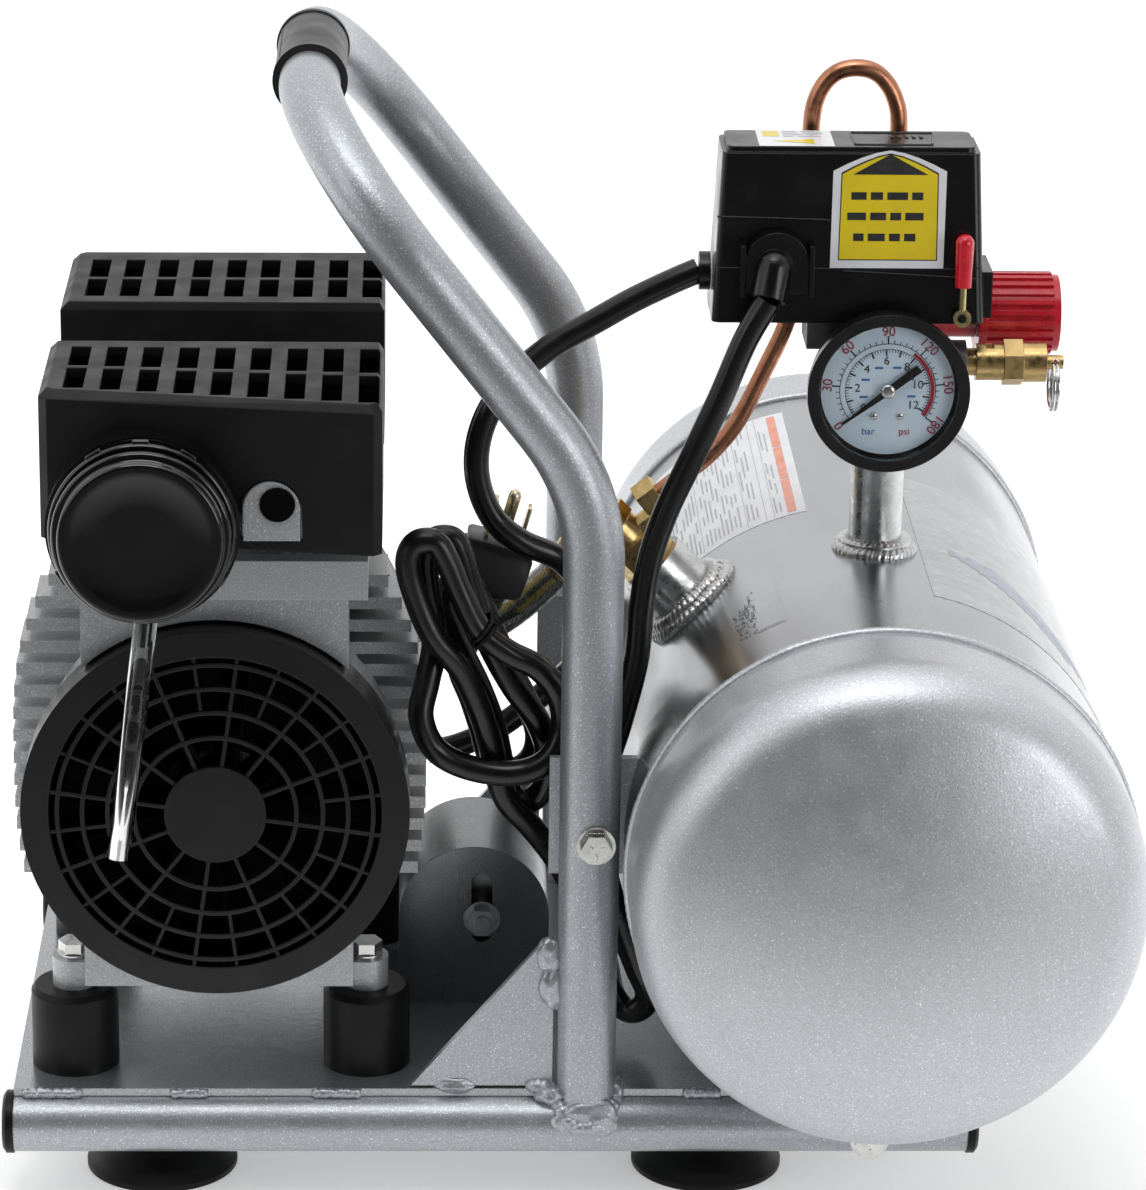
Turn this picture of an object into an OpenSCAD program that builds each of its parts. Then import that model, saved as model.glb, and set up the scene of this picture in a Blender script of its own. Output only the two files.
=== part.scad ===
// Twin-cylinder oil-free air compressor with one long horizontal tank.
// The origin is on the floor, under the middle of the whole compressor; the tank lies along Y.

/* [Frame] */
// Length of the two base tubes
base_length = 350; // [345:1:360]
// Distance between the axes of the two base tubes
base_spacing = 205; // [204:1:208]
// Outer diameter of the frame tube
tube_diameter = 22; // [21.5:0.5:22.5]
// Wall of the frame tube
tube_wall = 1.8; // [1.4:0.1:2.2]
// Height of the base tubes above the floor
foot_height = 17; // [16:0.5:18]
// Thickness of the steel base plate
plate_thickness = 3; // [2:0.5:3]

/* [Handle] */
// Distance of the handle legs from the middle of the base
handle_x = 34.3; // [32:0.5:36]
// Height where the legs start to lean
handle_bend_z = 272; // [265:1:280]
// Lean of the upper legs from vertical
handle_lean = 38; // [36:0.2:40]
// Length of the leaning part, up to the crossbar
handle_reach = 164.6; // [163:0.2:168]
// Length of the rubber grip
grip_length = 60; // [55:1:75]

/* [Tank] */
// Outer diameter of the tank barrel
tank_diameter = 182; // [181:0.5:183]
// Length of the barrel between its two seams
tank_length = 289; // [285:1:293]
// Wall of the tank
tank_wall = 2.5; // [2:0.5:3]
// Height of the tank axis
tank_z = 136.6; // [136:0.2:138]

/* [Pump] */
// Height of the motor shaft
shaft_z = 153; // [152:0.5:154]
// Outer radius of the fan guards
guard_radius = 69.5; // [69:0.5:71]
// Width of the cylinder head covers
cover_width = 119; // [117:1:121]
// Height of the top of the head covers
cover_top_z = 309; // [308:0.5:312]

/* [Controls] */
// Width of the pressure switch
switch_width = 98; // [96:1:100]
// Outer diameter of the pressure gauge
gauge_diameter = 58.4; // [56:0.2:60]
// Diameter of the regulator knob
knob_diameter = 30.6; // [29:0.2:31]

/* [Cord and hose] */
// Diameter of the mains cord
cord_diameter = 9.4; // [9:0.1:9.6]
// Diameter of the braided hose
hose_diameter = 13; // [12:0.5:13.5]
// Diameter of the copper tube
copper_diameter = 6.35; // [6:0.05:6.4]

/* [Hidden] */

$fn = 64;
over = 1;                                   // how far a cut runs past a face
middle = [26.25, 19.7];                     // middle of the whole outline, from the middle of the base
tube_r = tube_diameter / 2;
tube_z = foot_height + tube_r;              // height of the base tube axes
plate_z = foot_height + tube_diameter;      // underside of the base plate
deck_z = plate_z + plate_thickness;         // top of the base plate
plate_end_x = 110;
front_y = -base_spacing / 2;
m6_r = 3;
m6_hole_r = 3.3;

foot_x = [-122.5, 81];
foot_y = -76.5;
foot_seat_z = 13;                           // seat of the foot bolt's head
tank_x = 138.5;
tank_r = tank_diameter / 2;
tank_y0 = -124.8;                           // front seam of the tank
tank_y1 = tank_y0 + tank_length;
side_bolt = [36.3, 142];
foot_bolt = [tank_x, 26];
bracket_t = 3;

pump_x = -100;
pump_y = -17.5;
shaft_r = 6;
cylinder_y = -61;                           // cylinder axis, from the middle of the pump
flange_top_z = 248;
head_bottom_z = 252;
lug_x = 53.8;                               // pump mount bolts, from the shaft
lug_z = 73;
lug_h = 11.5;
filter_x = -23.5;                           // intake filter axis, from the shaft
filter_z = 265;
crossover = [30, 262];                      // pipe that joins the two heads
crossover_r = 5;

riser = [141, -29.5];
switch_front_y = -54.5;
switch_back_y = -20.5;
switch_x = 126;
switch_z0 = 320;
switch_z1 = 383;
gauge_x = 140.1;
gauge_z = 298;
gauge_front_y = -69.5;
regulator_y = -10.5;
regulator_z = 312;
valve_y = -40.5;
valve_z = 301.8;
coupler_r = 8;
lever_pivot = [166.5, -57.5, 323];

// ---------- helpers ----------

// Moves a piece from the frame of the base to the frame of the whole compressor
module place() {
    translate([-middle.x, -middle.y, 0]) children();
}

// Cylinder along Y, from y0 to y1
module rod_y(r, y0, y1, x = 0, z = 0) {
    translate([x, y0, z]) rotate([-90, 0, 0]) cylinder(r = r, h = y1 - y0);
}

// Cylinder along X, from x0 to x1
module rod_x(r, x0, x1, y = 0, z = 0) {
    translate([x0, y, z]) rotate([0, 90, 0]) cylinder(r = r, h = x1 - x0);
}

// Hexagonal prism along Z, size across flats
module hex(across, h) {
    cylinder(r = across / 2 / cos(30), h = h, $fn = 6);
}

// Box given by its lowest and highest corners
module span(low, high) {
    translate(low) cube(high - low);
}

module front_and_back() {
    children();
    mirror([0, 1, 0]) children();
}

module at_pump() {
    translate([pump_x, pump_y, 0]) children();
}

module both_pump_ends() {
    at_pump() front_and_back() children();
}

function unit(v) = v / norm(v);
function tangent(path, i) = unit(path[min(i + 1, len(path) - 1)] - path[max(i - 1, 0)]);
function square_to(n, t) = unit(n - (n * t) * t);
function normals(path, n, i = 0) = i == len(path) ? [] :
    let (m = square_to(n, tangent(path, i))) concat([m], normals(path, m, i + 1));
function curve(a, b, c, d, t) =
    0.5 * (2 * b + (c - a) * t + (2 * a - 5 * b + 4 * c - d) * t * t + (3 * b - a - 3 * c + d) * t * t * t);
function smooth(route, steps) = concat([
    for (i = [0 : len(route) - 2]) for (s = [0 : steps - 1])
        curve(route[max(i - 1, 0)], route[i], route[i + 1], route[min(i + 2, len(route) - 1)], s / steps)
], [route[len(route) - 1]]);

// Round tube swept along a smooth curve through the route's points
module swept_tube(route, diameter, sides, steps) {
    path = smooth(route, steps);
    across = normals(path, [0.12, 0.94, 0.31]);
    points = [
        for (i = [0 : len(path) - 1]) let (u = across[i], v = cross(tangent(path, i), u))
            for (k = [0 : sides - 1]) let (a = 360 * k / sides)
                path[i] + diameter / 2 * (cos(a) * u + sin(a) * v)
    ];
    last = (len(path) - 1) * sides;
    walls = [
        for (i = [0 : len(path) - 2]) for (k = [0 : sides - 1])
            let (a = i * sides + k, b = i * sides + (k + 1) % sides)
                each [[a, b + sides, b], [a, a + sides, b + sides]]
    ];
    start_cap = [for (k = [0 : sides - 1]) k];
    end_cap = [for (k = [sides - 1 : -1 : 0]) last + k];
    polyhedron(points, concat([start_cap], walls, [end_cap]));
}

// ---------- frame ----------

module base_tubes() {
    color("silver") front_and_back() difference() {
        rod_x(tube_r, -base_length / 2, base_length / 2, front_y, tube_z);
        rod_x(tube_r - tube_wall, -base_length / 2 - over, base_length / 2 + over, front_y, tube_z);
        rod_y(m6_hole_r, front_y - tube_r - over, front_y + tube_r + over, foot_bolt.x, foot_bolt.y);
    }
}

module tube_end_plugs() {
    plug_head = 4;
    spigot = 14;
    color("#161616") front_and_back() for (side = [-1, 1])
        translate([side * base_length / 2, front_y, tube_z]) rotate([0, side * 90, 0]) {
            cylinder(r = tube_r + 0.6, h = plug_head - 1.2);
            translate([0, 0, plug_head - 1.2]) cylinder(r1 = tube_r + 0.6, r2 = tube_r - 1, h = 1.2);
            translate([0, 0, -spigot]) cylinder(r = tube_r - tube_wall - 0.1, h = spigot);
        }
}

module base_plate() {
    edge_y = base_spacing / 2 + 2;
    color("silver") difference() {
        span([-base_length / 2, -edge_y, plate_z], [plate_end_x, edge_y, deck_z]);
        front_and_back() translate([handle_x, front_y, plate_z - over])
            cylinder(r = tube_r + 0.3, h = plate_thickness + 2 * over);
        both_pump_ends() for (x = [-lug_x, lug_x])
            translate([x, cylinder_y, plate_z - over]) cylinder(r = m6_hole_r, h = plate_thickness + 2 * over);
        front_and_back() for (x = foot_x)
            translate([x, foot_y, plate_z - over]) cylinder(r = m6_r, h = plate_thickness);
    }
}

// Triangular brace whose tacks touch the plate and the handle leg
module frame_gussets() {
    leg_x = handle_x - tube_r - 0.1;
    tack = 1.1;
    outline = [
        [leg_x - 53, deck_z + tack], [leg_x - 42, deck_z + tack], [leg_x - 41, deck_z],
        [leg_x - 34, deck_z], [leg_x - 33, deck_z + tack], [leg_x - 9, deck_z + tack],
        [leg_x - 8, deck_z], [leg_x - 1, deck_z], [leg_x - tack, deck_z + 7],
        [leg_x - tack, deck_z + 34], [leg_x, deck_z + 36], [leg_x, deck_z + 52],
        [leg_x - 5, deck_z + 58]
    ];
    color("silver") front_and_back() translate([0, front_y + 1.5, 0]) rotate([90, 0, 0])
        linear_extrude(3) polygon(outline);
}

// The bent tube of the handle at a given radius, from the front leg to the back leg
module handle_route(r, foot_z) {
    leg_bend_r = 80;
    top_bend_r = 66;
    lap = 0.3;
    straight_r = r - 0.05;
    trim = leg_bend_r * tan(handle_lean / 2);
    half = base_spacing / 2 - top_bend_r;
    front_and_back() translate([handle_x, front_y, 0]) {
        translate([0, 0, foot_z]) cylinder(r = straight_r, h = handle_bend_z - trim - foot_z + lap);
        translate([-leg_bend_r, 0, handle_bend_z - trim]) rotate([90, 0, 0])
            rotate_extrude(angle = handle_lean) translate([leg_bend_r, 0]) circle(r = r);
        translate([0, 0, handle_bend_z]) rotate([0, -handle_lean, 0]) {
            translate([0, 0, trim - lap]) cylinder(r = straight_r, h = handle_reach - trim - top_bend_r + 2 * lap);
            translate([0, top_bend_r, handle_reach - top_bend_r]) rotate([0, -90, 0]) rotate([0, 0, -90])
                rotate_extrude(angle = 90) translate([top_bend_r, 0]) circle(r = r);
            translate([0, top_bend_r - lap, handle_reach]) rotate([-90, 0, 0])
                cylinder(r = straight_r, h = half + 2 * lap);
        }
    }
}

module at_crossbar() {
    translate([handle_x - handle_reach * sin(handle_lean), 0, handle_bend_z + handle_reach * cos(handle_lean)])
        children();
}

module handle_tube() {
    foot_z = tube_z + tube_r - 4;
    color("silver") difference() {
        handle_route(tube_r, foot_z);
        handle_route(tube_r - tube_wall, foot_z - over);
        front_and_back() rod_x(tube_r, 0, 2 * handle_x, front_y, tube_z);
        front_and_back() rod_y(m6_hole_r, front_y - 2 * tube_r, front_y + 2 * tube_r, side_bolt.x, side_bolt.y);
    }
}

module handle_grip() {
    wall = 1.9;
    rim = 0.6;
    rim_w = 3;
    color("#1c1c1c") at_crossbar() difference() {
        union() {
            rod_y(tube_r + wall, -grip_length / 2, grip_length / 2);
            for (y = [-grip_length / 2, grip_length / 2 - rim_w]) rod_y(tube_r + wall + rim, y, y + rim_w);
        }
        rod_y(tube_r, -grip_length, grip_length);
    }
}

// Suction cup under the base plate, with a recess for its bolt head
module suction_feet() {
    lip_r = 28;
    recess_r = 7;
    neck_r = 12.5;
    profile = [
        [m6_r, plate_z], [neck_r, plate_z], [neck_r, 17], [14, 13], [18, 9], [24, 5.5], [lip_r, 2], [lip_r, 0],
        [lip_r - 3, 0], [20, 3.5], [12, 6], [recess_r, 7], [recess_r, foot_seat_z], [m6_r, foot_seat_z]
    ];
    color("#161616") front_and_back() for (x = foot_x)
        translate([x, foot_y, 0]) rotate_extrude() polygon(profile);
}

// Flanged M6 bolt with its head's seat at the origin and its shank along +Z
module flange_bolt(length, flange_r) {
    translate([0, 0, -1.4]) cylinder(r = flange_r, h = 1.4);
    translate([0, 0, -5.6]) hex(10, 4.2);
    cylinder(r = m6_r, h = length);
}

module flange_nut() {
    difference() {
        union() {
            cylinder(r = 7.1, h = 1.3);
            hex(10, 6);
        }
        translate([0, 0, -over]) cylinder(r = m6_r, h = 6 + 2 * over);
    }
}

module flange_bolts() {
    lug_top_z = lug_z + lug_h;
    color("#c9c9c9") both_pump_ends() for (x = [-lug_x, lug_x])
        translate([x, cylinder_y, lug_top_z]) rotate([180, 0, 0]) flange_bolt(lug_top_z - plate_z + 6, 6.2);
    color("#c9c9c9") front_and_back() {
        for (p = [side_bolt, foot_bolt])
            translate([p.x, front_y - tube_r, p.y]) rotate([-90, 0, 0]) flange_bolt(34, 7.1);
        for (x = foot_x) translate([x, foot_y, foot_seat_z]) {
            translate([0, 0, -3.4]) cylinder(r = 5.6, h = 3.4);
            cylinder(r = m6_r, h = deck_z - over - foot_seat_z);
        }
    }
}

module flange_nuts() {
    color("#b8b8b8") both_pump_ends() for (x = [-lug_x, lug_x])
        translate([x, cylinder_y, plate_z]) rotate([180, 0, 0]) flange_nut();
    color("#b8b8b8") front_and_back() {
        for (p = [side_bolt, foot_bolt])
            translate([p.x, front_y + tube_r + bracket_t, p.y]) rotate([-90, 0, 0]) flange_nut();
    }
}

// Flat brackets welded to the tank and bolted to the handle legs and the base tubes
module tank_brackets() {
    y0 = front_y + tube_r;
    color("silver") front_and_back() difference() {
        union() {
            span([20, y0, 122], [tank_x, y0 + bracket_t, 167]);
            span([tank_x - 15, y0, foot_height], [tank_x + 15, y0 + bracket_t, tank_z]);
        }
        rod_y(tank_r, y0 - over, y0 + bracket_t + over, tank_x, tank_z);
        rod_y(m6_hole_r, y0 - over, y0 + bracket_t + over, side_bolt.x, side_bolt.y);
        rod_y(m6_hole_r, y0 - over, y0 + bracket_t + over, foot_bolt.x, foot_bolt.y);
    }
}

// ---------- tank ----------

module in_bung_frame() {
    translate([tank_x, -14.5, tank_z]) rotate([0, -45, 0]) children();
}

module tank_barrel() {
    color("#c4c6c9") difference() {
        rod_y(tank_r, tank_y0, tank_y1, tank_x, tank_z);
        rod_y(tank_r - tank_wall, tank_y0 - over, tank_y1 + over, tank_x, tank_z);
        translate([riser.x, riser.y, tank_z]) cylinder(r = 7, h = tank_r + 5);
        in_bung_frame() cylinder(r = 8, h = tank_r + 5);
        translate([tank_x, 20, tank_z - tank_r - 5]) cylinder(r = 5, h = 10);
    }
}

// Outline of a dished head: straight skirt, knuckle arc and shallow crown arc
function head_outline(r, skirt, knuckle, crown) =
    let (
        rise = sqrt(pow(crown - knuckle, 2) - pow(r - knuckle, 2)),
        turn = atan2(r - knuckle, rise)
    )
    concat(
        [[r, 0]],
        [for (i = [0 : 8]) let (a = i * (90 - turn) / 8) [r - knuckle + knuckle * cos(a), skirt + knuckle * sin(a)]],
        [for (i = [1 : 12]) let (a = turn * (1 - i / 12)) [crown * sin(a), skirt - rise + crown * cos(a)]]
    );

module tank_head() {
    skirt = 28;
    knuckle = 24;
    crown = 215;
    inner = head_outline(tank_r - tank_wall, skirt, knuckle - tank_wall, crown - tank_wall);
    outer = head_outline(tank_r + 0.5, skirt, knuckle, crown);
    rotate_extrude($fn = 96) difference() {
        polygon(concat([[0, 0]], outer));
        polygon(concat([[0, -over], [tank_r - tank_wall, -over]], inner));
    }
    // weld ridge over the seam
    difference() {
        rotate_extrude($fn = 96) translate([tank_r + 0.2, 0.6]) circle(r = 1.8, $fn = 24);
        translate([0, 0, -5]) cylinder(r = tank_r, h = 10, $fn = 96);
    }
}

module tank_heads() {
    color("silver") {
        translate([tank_x, tank_y0, tank_z]) rotate([90, 0, 0]) tank_head();
        translate([tank_x, tank_y1, tank_z]) rotate([-90, 0, 0]) tank_head();
    }
}

// Welded ports: the riser under the switch, the slanted inlet bung and the drain bung
module tank_bungs() {
    color("#b9bbbd") difference() {
        union() {
            translate([riser.x, riser.y, tank_z]) {
                cylinder(r = 9.8, h = tank_r + 55);
                cylinder(r = 13.5, h = tank_r + 3.5);
            }
            in_bung_frame() cylinder(r = 13.5, h = tank_r + 21);
            translate([tank_x, 20, tank_z - tank_r - 6]) cylinder(r = 10, h = 50);
        }
        rod_y(tank_r, tank_y0, tank_y1, tank_x, tank_z);
        translate([riser.x, riser.y, tank_z]) cylinder(r = 7, h = tank_r + 60);
        in_bung_frame() cylinder(r = 8, h = tank_r + 30);
        translate([tank_x, 20, tank_z - tank_r - 20]) cylinder(r = 5, h = 30);
    }
}

module drain_valve_body() {
    top_z = tank_z - tank_r - 6;
    color("#b08d3c") translate([tank_x, 20, 0]) difference() {
        union() {
            translate([0, 0, top_z - 6]) hex(14, 6);
            translate([0, 0, 16]) cylinder(r = 6.5, h = top_z - 22);
            translate([0, 0, 12]) cylinder(r = 4.5, h = 4);
            rod_x(3, 0, 13, 0, 25);
        }
        translate([0, 0, 11]) cylinder(r = 2, h = 10);
    }
}

module drain_valve_lever() {
    color("#c03030") translate([tank_x, 20, 25]) difference() {
        union() {
            rod_x(5, 9, 11.5);
            translate([9, 0, -3.5]) cube([2.5, 20, 7]);
        }
        rod_x(3.05, 8, 14);
    }
}

// ---------- pump and motor ----------

// Half width of the finned motor housing at a height above the shaft
function fin_reach(z) = 75.5 * sqrt(1 - pow(abs(z) / 100, 3));

module motor_housing() {
    half = 47;
    fin_pitch = 8.6;
    fin_depth = 24;
    color("#c2c4c6") at_pump() difference() {
        translate([0, 0, shaft_z]) union() {
            rod_y(64, -half, half);
            for (i = [-5 : 8]) let (z = i * fin_pitch + 1)
                translate([-fin_reach(z), -half, z]) cube([2 * fin_reach(z), fin_depth, 4.6]);
            translate([-50, -half + 12, 35]) cube([100, 4, 36]);
        }
        rod_y(60, -half - over, half + over, 0, shaft_z);
        translate([0, cylinder_y, 222]) cylinder(r = 23.6, h = 8);
    }
}

// Die-cast end bracket: bell, feet, neck and cylinder flange
module end_brackets() {
    color("#bdbfc1") both_pump_ends() difference() {
        union() {
            rod_y(66, -75, -47, 0, shaft_z);
            span([-49, -75, 77.6], [49, -47, 120]);
            for (x = [-1, 1]) translate([x * lug_x, cylinder_y, lug_z]) {
                cylinder(r = 8, h = lug_h);
                translate([min(0, -x * 12), -8, 4.6]) cube([12, 16, 6.9]);
            }
            difference() {
                span([-47.5, -86, 190], [47.5, -36, 233.5]);
                rod_y(guard_radius + 1, -96, -75, 0, shaft_z);
            }
            span([-54.5, -93, 233.5], [54.5, -29, flange_top_z]);
        }
        rod_y(58, -76, -55, 0, shaft_z);
        rod_y(14, -60, -46, 0, shaft_z);
        for (x = [-1, 1]) translate([x * lug_x, cylinder_y, 0]) {
            translate([0, 0, 60]) cylinder(r = m6_hole_r, h = 30);
            translate([0, 0, lug_z + lug_h]) cylinder(r = 7.4, h = 14);
        }
        translate([0, cylinder_y, 224]) cylinder(r = 23, h = 30);
        translate([0, cylinder_y, 190]) cylinder(r = 12, h = 40);
        rod_y(60, -47.5, -20, 0, shaft_z);
        rod_y(69.6, -47, -20, 0, shaft_z);
        span([-80, -47, 60], [80, -20, shaft_z + 76]);
    }
}

module stator_core() {
    color("#8a5a30") at_pump() difference() {
        union() {
            rod_y(60, -28, 28, 0, shaft_z);
            rod_y(52, -40, 40, 0, shaft_z);
        }
        rod_y(36, -41, 41, 0, shaft_z);
    }
}

module motor_bearings() {
    color("#9fa3a8") both_pump_ends() difference() {
        rod_y(14, -55, -47, 0, shaft_z);
        rod_y(shaft_r + 0.03, -56, -46, 0, shaft_z);
    }
}

// Motor shaft with its rotor core and the two crank eccentrics pressed on
module rotor_shaft() {
    crank_throw = 7.5;
    color("#8d9197") at_pump() {
        rod_y(shaft_r, -88, 88, 0, shaft_z);
        rod_y(35, -28, 28, 0, shaft_z);
        front_and_back() rod_y(14, -66, -57, 0, shaft_z - crank_throw);
    }
}

module cooling_fans() {
    blades = 9;
    pitch = 35;
    hub_y = -83.5;
    chord = 14.5;
    color("#202020") both_pump_ends() translate([0, hub_y, shaft_z]) difference() {
        union() {
            rod_y(16, -6.5, 6.5);
            for (i = [0 : blades - 1]) rotate([0, i * 360 / blades, 0]) rotate([pitch, 0, 0])
                translate([14, -chord / 2, -0.9]) cube([42, chord, 1.8]);
        }
        rod_y(shaft_r, -8, 8);
    }
}

// Moulded grille with rings and spokes over the cooling fan
module fan_guards() {
    ring_r = [29, 38.5, 47.5, 56.5];
    rim_w = 10;
    color("#141414") both_pump_ends() translate([0, 0, shaft_z]) {
        difference() {
            rod_y(guard_radius, -95, -75);
            rod_y(guard_radius - 2.5, -92, -74);
            rod_y(guard_radius - rim_w, -96, -90);
        }
        rod_y(18.2, -95.5, -92.5);
        for (r = ring_r) difference() {
            rod_y(r + 0.8, -94.6, -92.4);
            rod_y(r - 0.8, -96, -91);
        }
        for (i = [0 : 11]) rotate([0, i * 30 + 8, 0])
            translate([17, -94.4, -0.7]) cube([guard_radius - rim_w - 16, 2.2, 1.4]);
        for (i = [0 : 11]) rotate([0, i * 30 + 23, 0])
            translate([38, -94.2, -0.6]) cube([guard_radius - rim_w - 37, 2, 1.2]);
    }
}

module pistons() {
    crown_z = 232;
    color("#a6a8ab") both_pump_ends() difference() {
        union() {
            translate([0, cylinder_y, crown_z]) cylinder(r = 20.7, h = 6);
            translate([-6, cylinder_y - 4, shaft_z + 14]) cube([12, 8, crown_z - shaft_z - 14]);
        }
        rod_y(22.8, -80, -40, 0, shaft_z);
    }
}

module cylinder_sleeves() {
    color("#d5d7da") both_pump_ends() translate([0, cylinder_y, 224]) difference() {
        cylinder(r = 23, h = flange_top_z - 224);
        translate([0, 0, -over]) cylinder(r = 21, h = 30);
    }
}

module valve_plates() {
    color("#c8cacc") both_pump_ends() difference() {
        span([-47, cylinder_y - 24, flange_top_z], [47, cylinder_y + 24, head_bottom_z]);
        for (x = [-8, 8]) translate([x, cylinder_y, flange_top_z - over]) cylinder(r = 3, h = 8);
    }
}

module cylinder_heads() {
    fin_pitch = 10.9;
    color("#b7b9bb") both_pump_ends() difference() {
        union() {
            span([-47, cylinder_y - 24, head_bottom_z], [47, cylinder_y + 24, head_bottom_z + 14]);
            for (i = [0 : 8])
                translate([-46 + i * fin_pitch, cylinder_y - 24, head_bottom_z + 13]) cube([4, 48, 25]);
            span([11.1, -103, 258.7], [30.9, cylinder_y - 23, 270]);
            rod_y(10, -103, cylinder_y - 23, 21, 270);
        }
        rod_y(6.2, -104, -95, 23, 272);
        span([-40, cylinder_y - 18, head_bottom_z - over], [-3, cylinder_y + 18, head_bottom_z + 9]);
        span([3, cylinder_y - 18, head_bottom_z - over], [40, cylinder_y + 18, head_bottom_z + 9]);
    }
}

module head_port_plugs() {
    color("#151515") both_pump_ends() {
        rod_y(6, -104.2, -95, 23, 272);
    }
}

// Slotted plastic cover, with its deep side to the right
module head_cover(depth_left, depth_right) {
    half = cover_width / 2;
    back = -25;
    low_z = 254.6;
    wall = 2.5;
    shoulder = 3;
    slot_pitch = 12.9;
    outline = [
        [-half - 1, back], [-half - 1, back - depth_left + 3], [-half + 2, back - depth_left],
        [half - 3, back - depth_right], [half, back - depth_right + 3], [half, back]
    ];
    top_inset = [
        [-half + 2, back - 1.5], [-half + 2, back - depth_left + 5], [-half + 4, back - depth_left + 3],
        [half - 5, back - depth_right + 2.5], [half - 1.8, back - depth_right + 5], [half - 1.8, back - 1.5]
    ];
    hollow = [
        [-half + 3, back - wall], [-half + 3, back - depth_left + 5],
        [half - wall, back - depth_right + 4.5], [half - wall, back - wall]
    ];
    difference() {
        hull() {
            translate([0, 0, low_z]) linear_extrude(cover_top_z - shoulder - low_z) polygon(outline);
            translate([0, 0, cover_top_z - 1]) linear_extrude(1) polygon(top_inset);
        }
        translate([0, 0, low_z - over]) linear_extrude(cover_top_z - low_z - wall) polygon(hollow);
        for (i = [0 : 8]) let (grow = i / 8 * (depth_right - depth_left) / 2, x = -half + 11 + i * slot_pitch) {
            translate([x - 3.6, back - 33 - grow * 0.9, cover_top_z - 10]) cube([7.2, 24 + grow * 0.7, 20]);
            translate([x - 3.6, back - 61 - grow * 1.9, cover_top_z - 10]) cube([7.2, 25 + grow * 0.9, 20]);
        }
        // openings for the port boss, the intake neck and the crossover pipe
        rod_y(10.6, -130, -80, 21, 270);
        span([10.4, -130, 258.2], [31.6, -80, 270]);
        rod_y(9.6, -130, -80, filter_x, filter_z);
        rod_y(crossover_r + 0.3, back - 5, back + over, crossover.x, crossover.y);
    }
}

module front_head_cover() {
    color("#1b1b1d") at_pump() head_cover(65, 82);
}

module rear_head_cover() {
    color("#1b1b1d") at_pump() mirror([0, 1, 0]) head_cover(75, 76);
}

// ---------- intake filter ----------

intake_top = [-123, -122.3, 230.8];
intake_lean = [-10.9, -4.7, -88.3];
nipple_r = 3;

// Places things at the top of the clear tube, running down along it
module along_intake() {
    translate(intake_top) rotate([0, 0, atan2(intake_lean.y, intake_lean.x)])
        rotate([0, acos(intake_lean.z / norm(intake_lean)), 0]) children();
}

module filter_body() {
    color("#0e0e0e") difference() {
        union() {
            at_pump() rod_y(9, -100, cylinder_y - 24, filter_x, filter_z);
            at_pump() rod_y(33.8, -110.5, -100, filter_x, filter_z);
            along_intake() translate([0, 0, -3]) cylinder(r = nipple_r, h = 13);
        }
        at_pump() rod_y(6, -101, -80, filter_x, filter_z);
        at_pump() rod_y(30.5, -112, -103, filter_x, filter_z);
        along_intake() translate([0, 0, -6]) cylinder(r = 1.6, h = 17);
    }
}

module filter_element() {
    color("#e5e2d8") at_pump() difference() {
        rod_y(24, -122, -103, filter_x, filter_z);
        rod_y(12, -123, -102, filter_x, filter_z);
    }
}

module filter_cap() {
    color("#0b0b0b") at_pump() difference() {
        union() {
            rod_y(32.4, -116, -110.5, filter_x, filter_z);
            rod_y(31, -121, -116, filter_x, filter_z);
            rod_y(28.6, -126, -121, filter_x, filter_z);
            rod_y(30.3, -110.5, -106, filter_x, filter_z);
        }
        rod_y(26.2, -124, -100, filter_x, filter_z);
    }
}

module intake_tube() {
    color("#d9e4e8", 0.5) along_intake() difference() {
        cylinder(r = 4.2, h = norm(intake_lean));
        translate([0, 0, -over]) cylinder(r = nipple_r + 0.05, h = norm(intake_lean) + 2 * over);
    }
}

// ---------- pump mounting and capacitor ----------

module rubber_mounts() {
    color("#141414") both_pump_ends() for (x = [-lug_x, lug_x])
        translate([x, cylinder_y, deck_z]) difference() {
            union() {
                cylinder(r = 16, h = lug_z - deck_z - 2);
                translate([0, 0, lug_z - deck_z - 2]) cylinder(r1 = 16, r2 = 14.5, h = 2);
            }
            translate([0, 0, -over]) cylinder(r = m6_hole_r, h = 40);
        }
}

cap_x = -6;
cap_y0 = -26.5;
cap_depth = 52;
cap_half = 28.5;

// Arched sheet-metal cover over the run capacitor, with a slotted fixing hole
module capacitor_cover() {
    arch_z = 77.5;
    wall = 1.5;
    slot_z = [71, 91];
    color("#3b3d40") translate([cap_x, cap_y0, 0]) difference() {
        union() {
            rod_y(cap_half, 0, cap_depth, 0, arch_z);
            span([-cap_half, 0, deck_z], [cap_half, cap_depth, arch_z]);
        }
        rod_y(cap_half - wall, wall, cap_depth + over, 0, arch_z);
        span([-cap_half + wall, wall, deck_z - over], [cap_half - wall, cap_depth + over, arch_z]);
        for (z = slot_z) rod_y(4, -over, 5, 3, z);
        span([-1, -over, slot_z[0]], [7, 5, slot_z[1]]);
    }
}

module capacitor() {
    color("#8c9094") translate([cap_x, cap_y0, 0]) {
        rod_y(22, 10, 50, 0, 70);
        rod_y(4, 3, 10, 3, 77);
        rod_y(m6_r, -7, 3, 3, 77);
        rod_y(7, -1.2, 0, 3, 77);
        translate([3, -1.2, 77]) rotate([90, 0, 0]) hex(10, 4.6);
    }
}

// ---------- manifold, switch and gauge ----------

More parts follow.
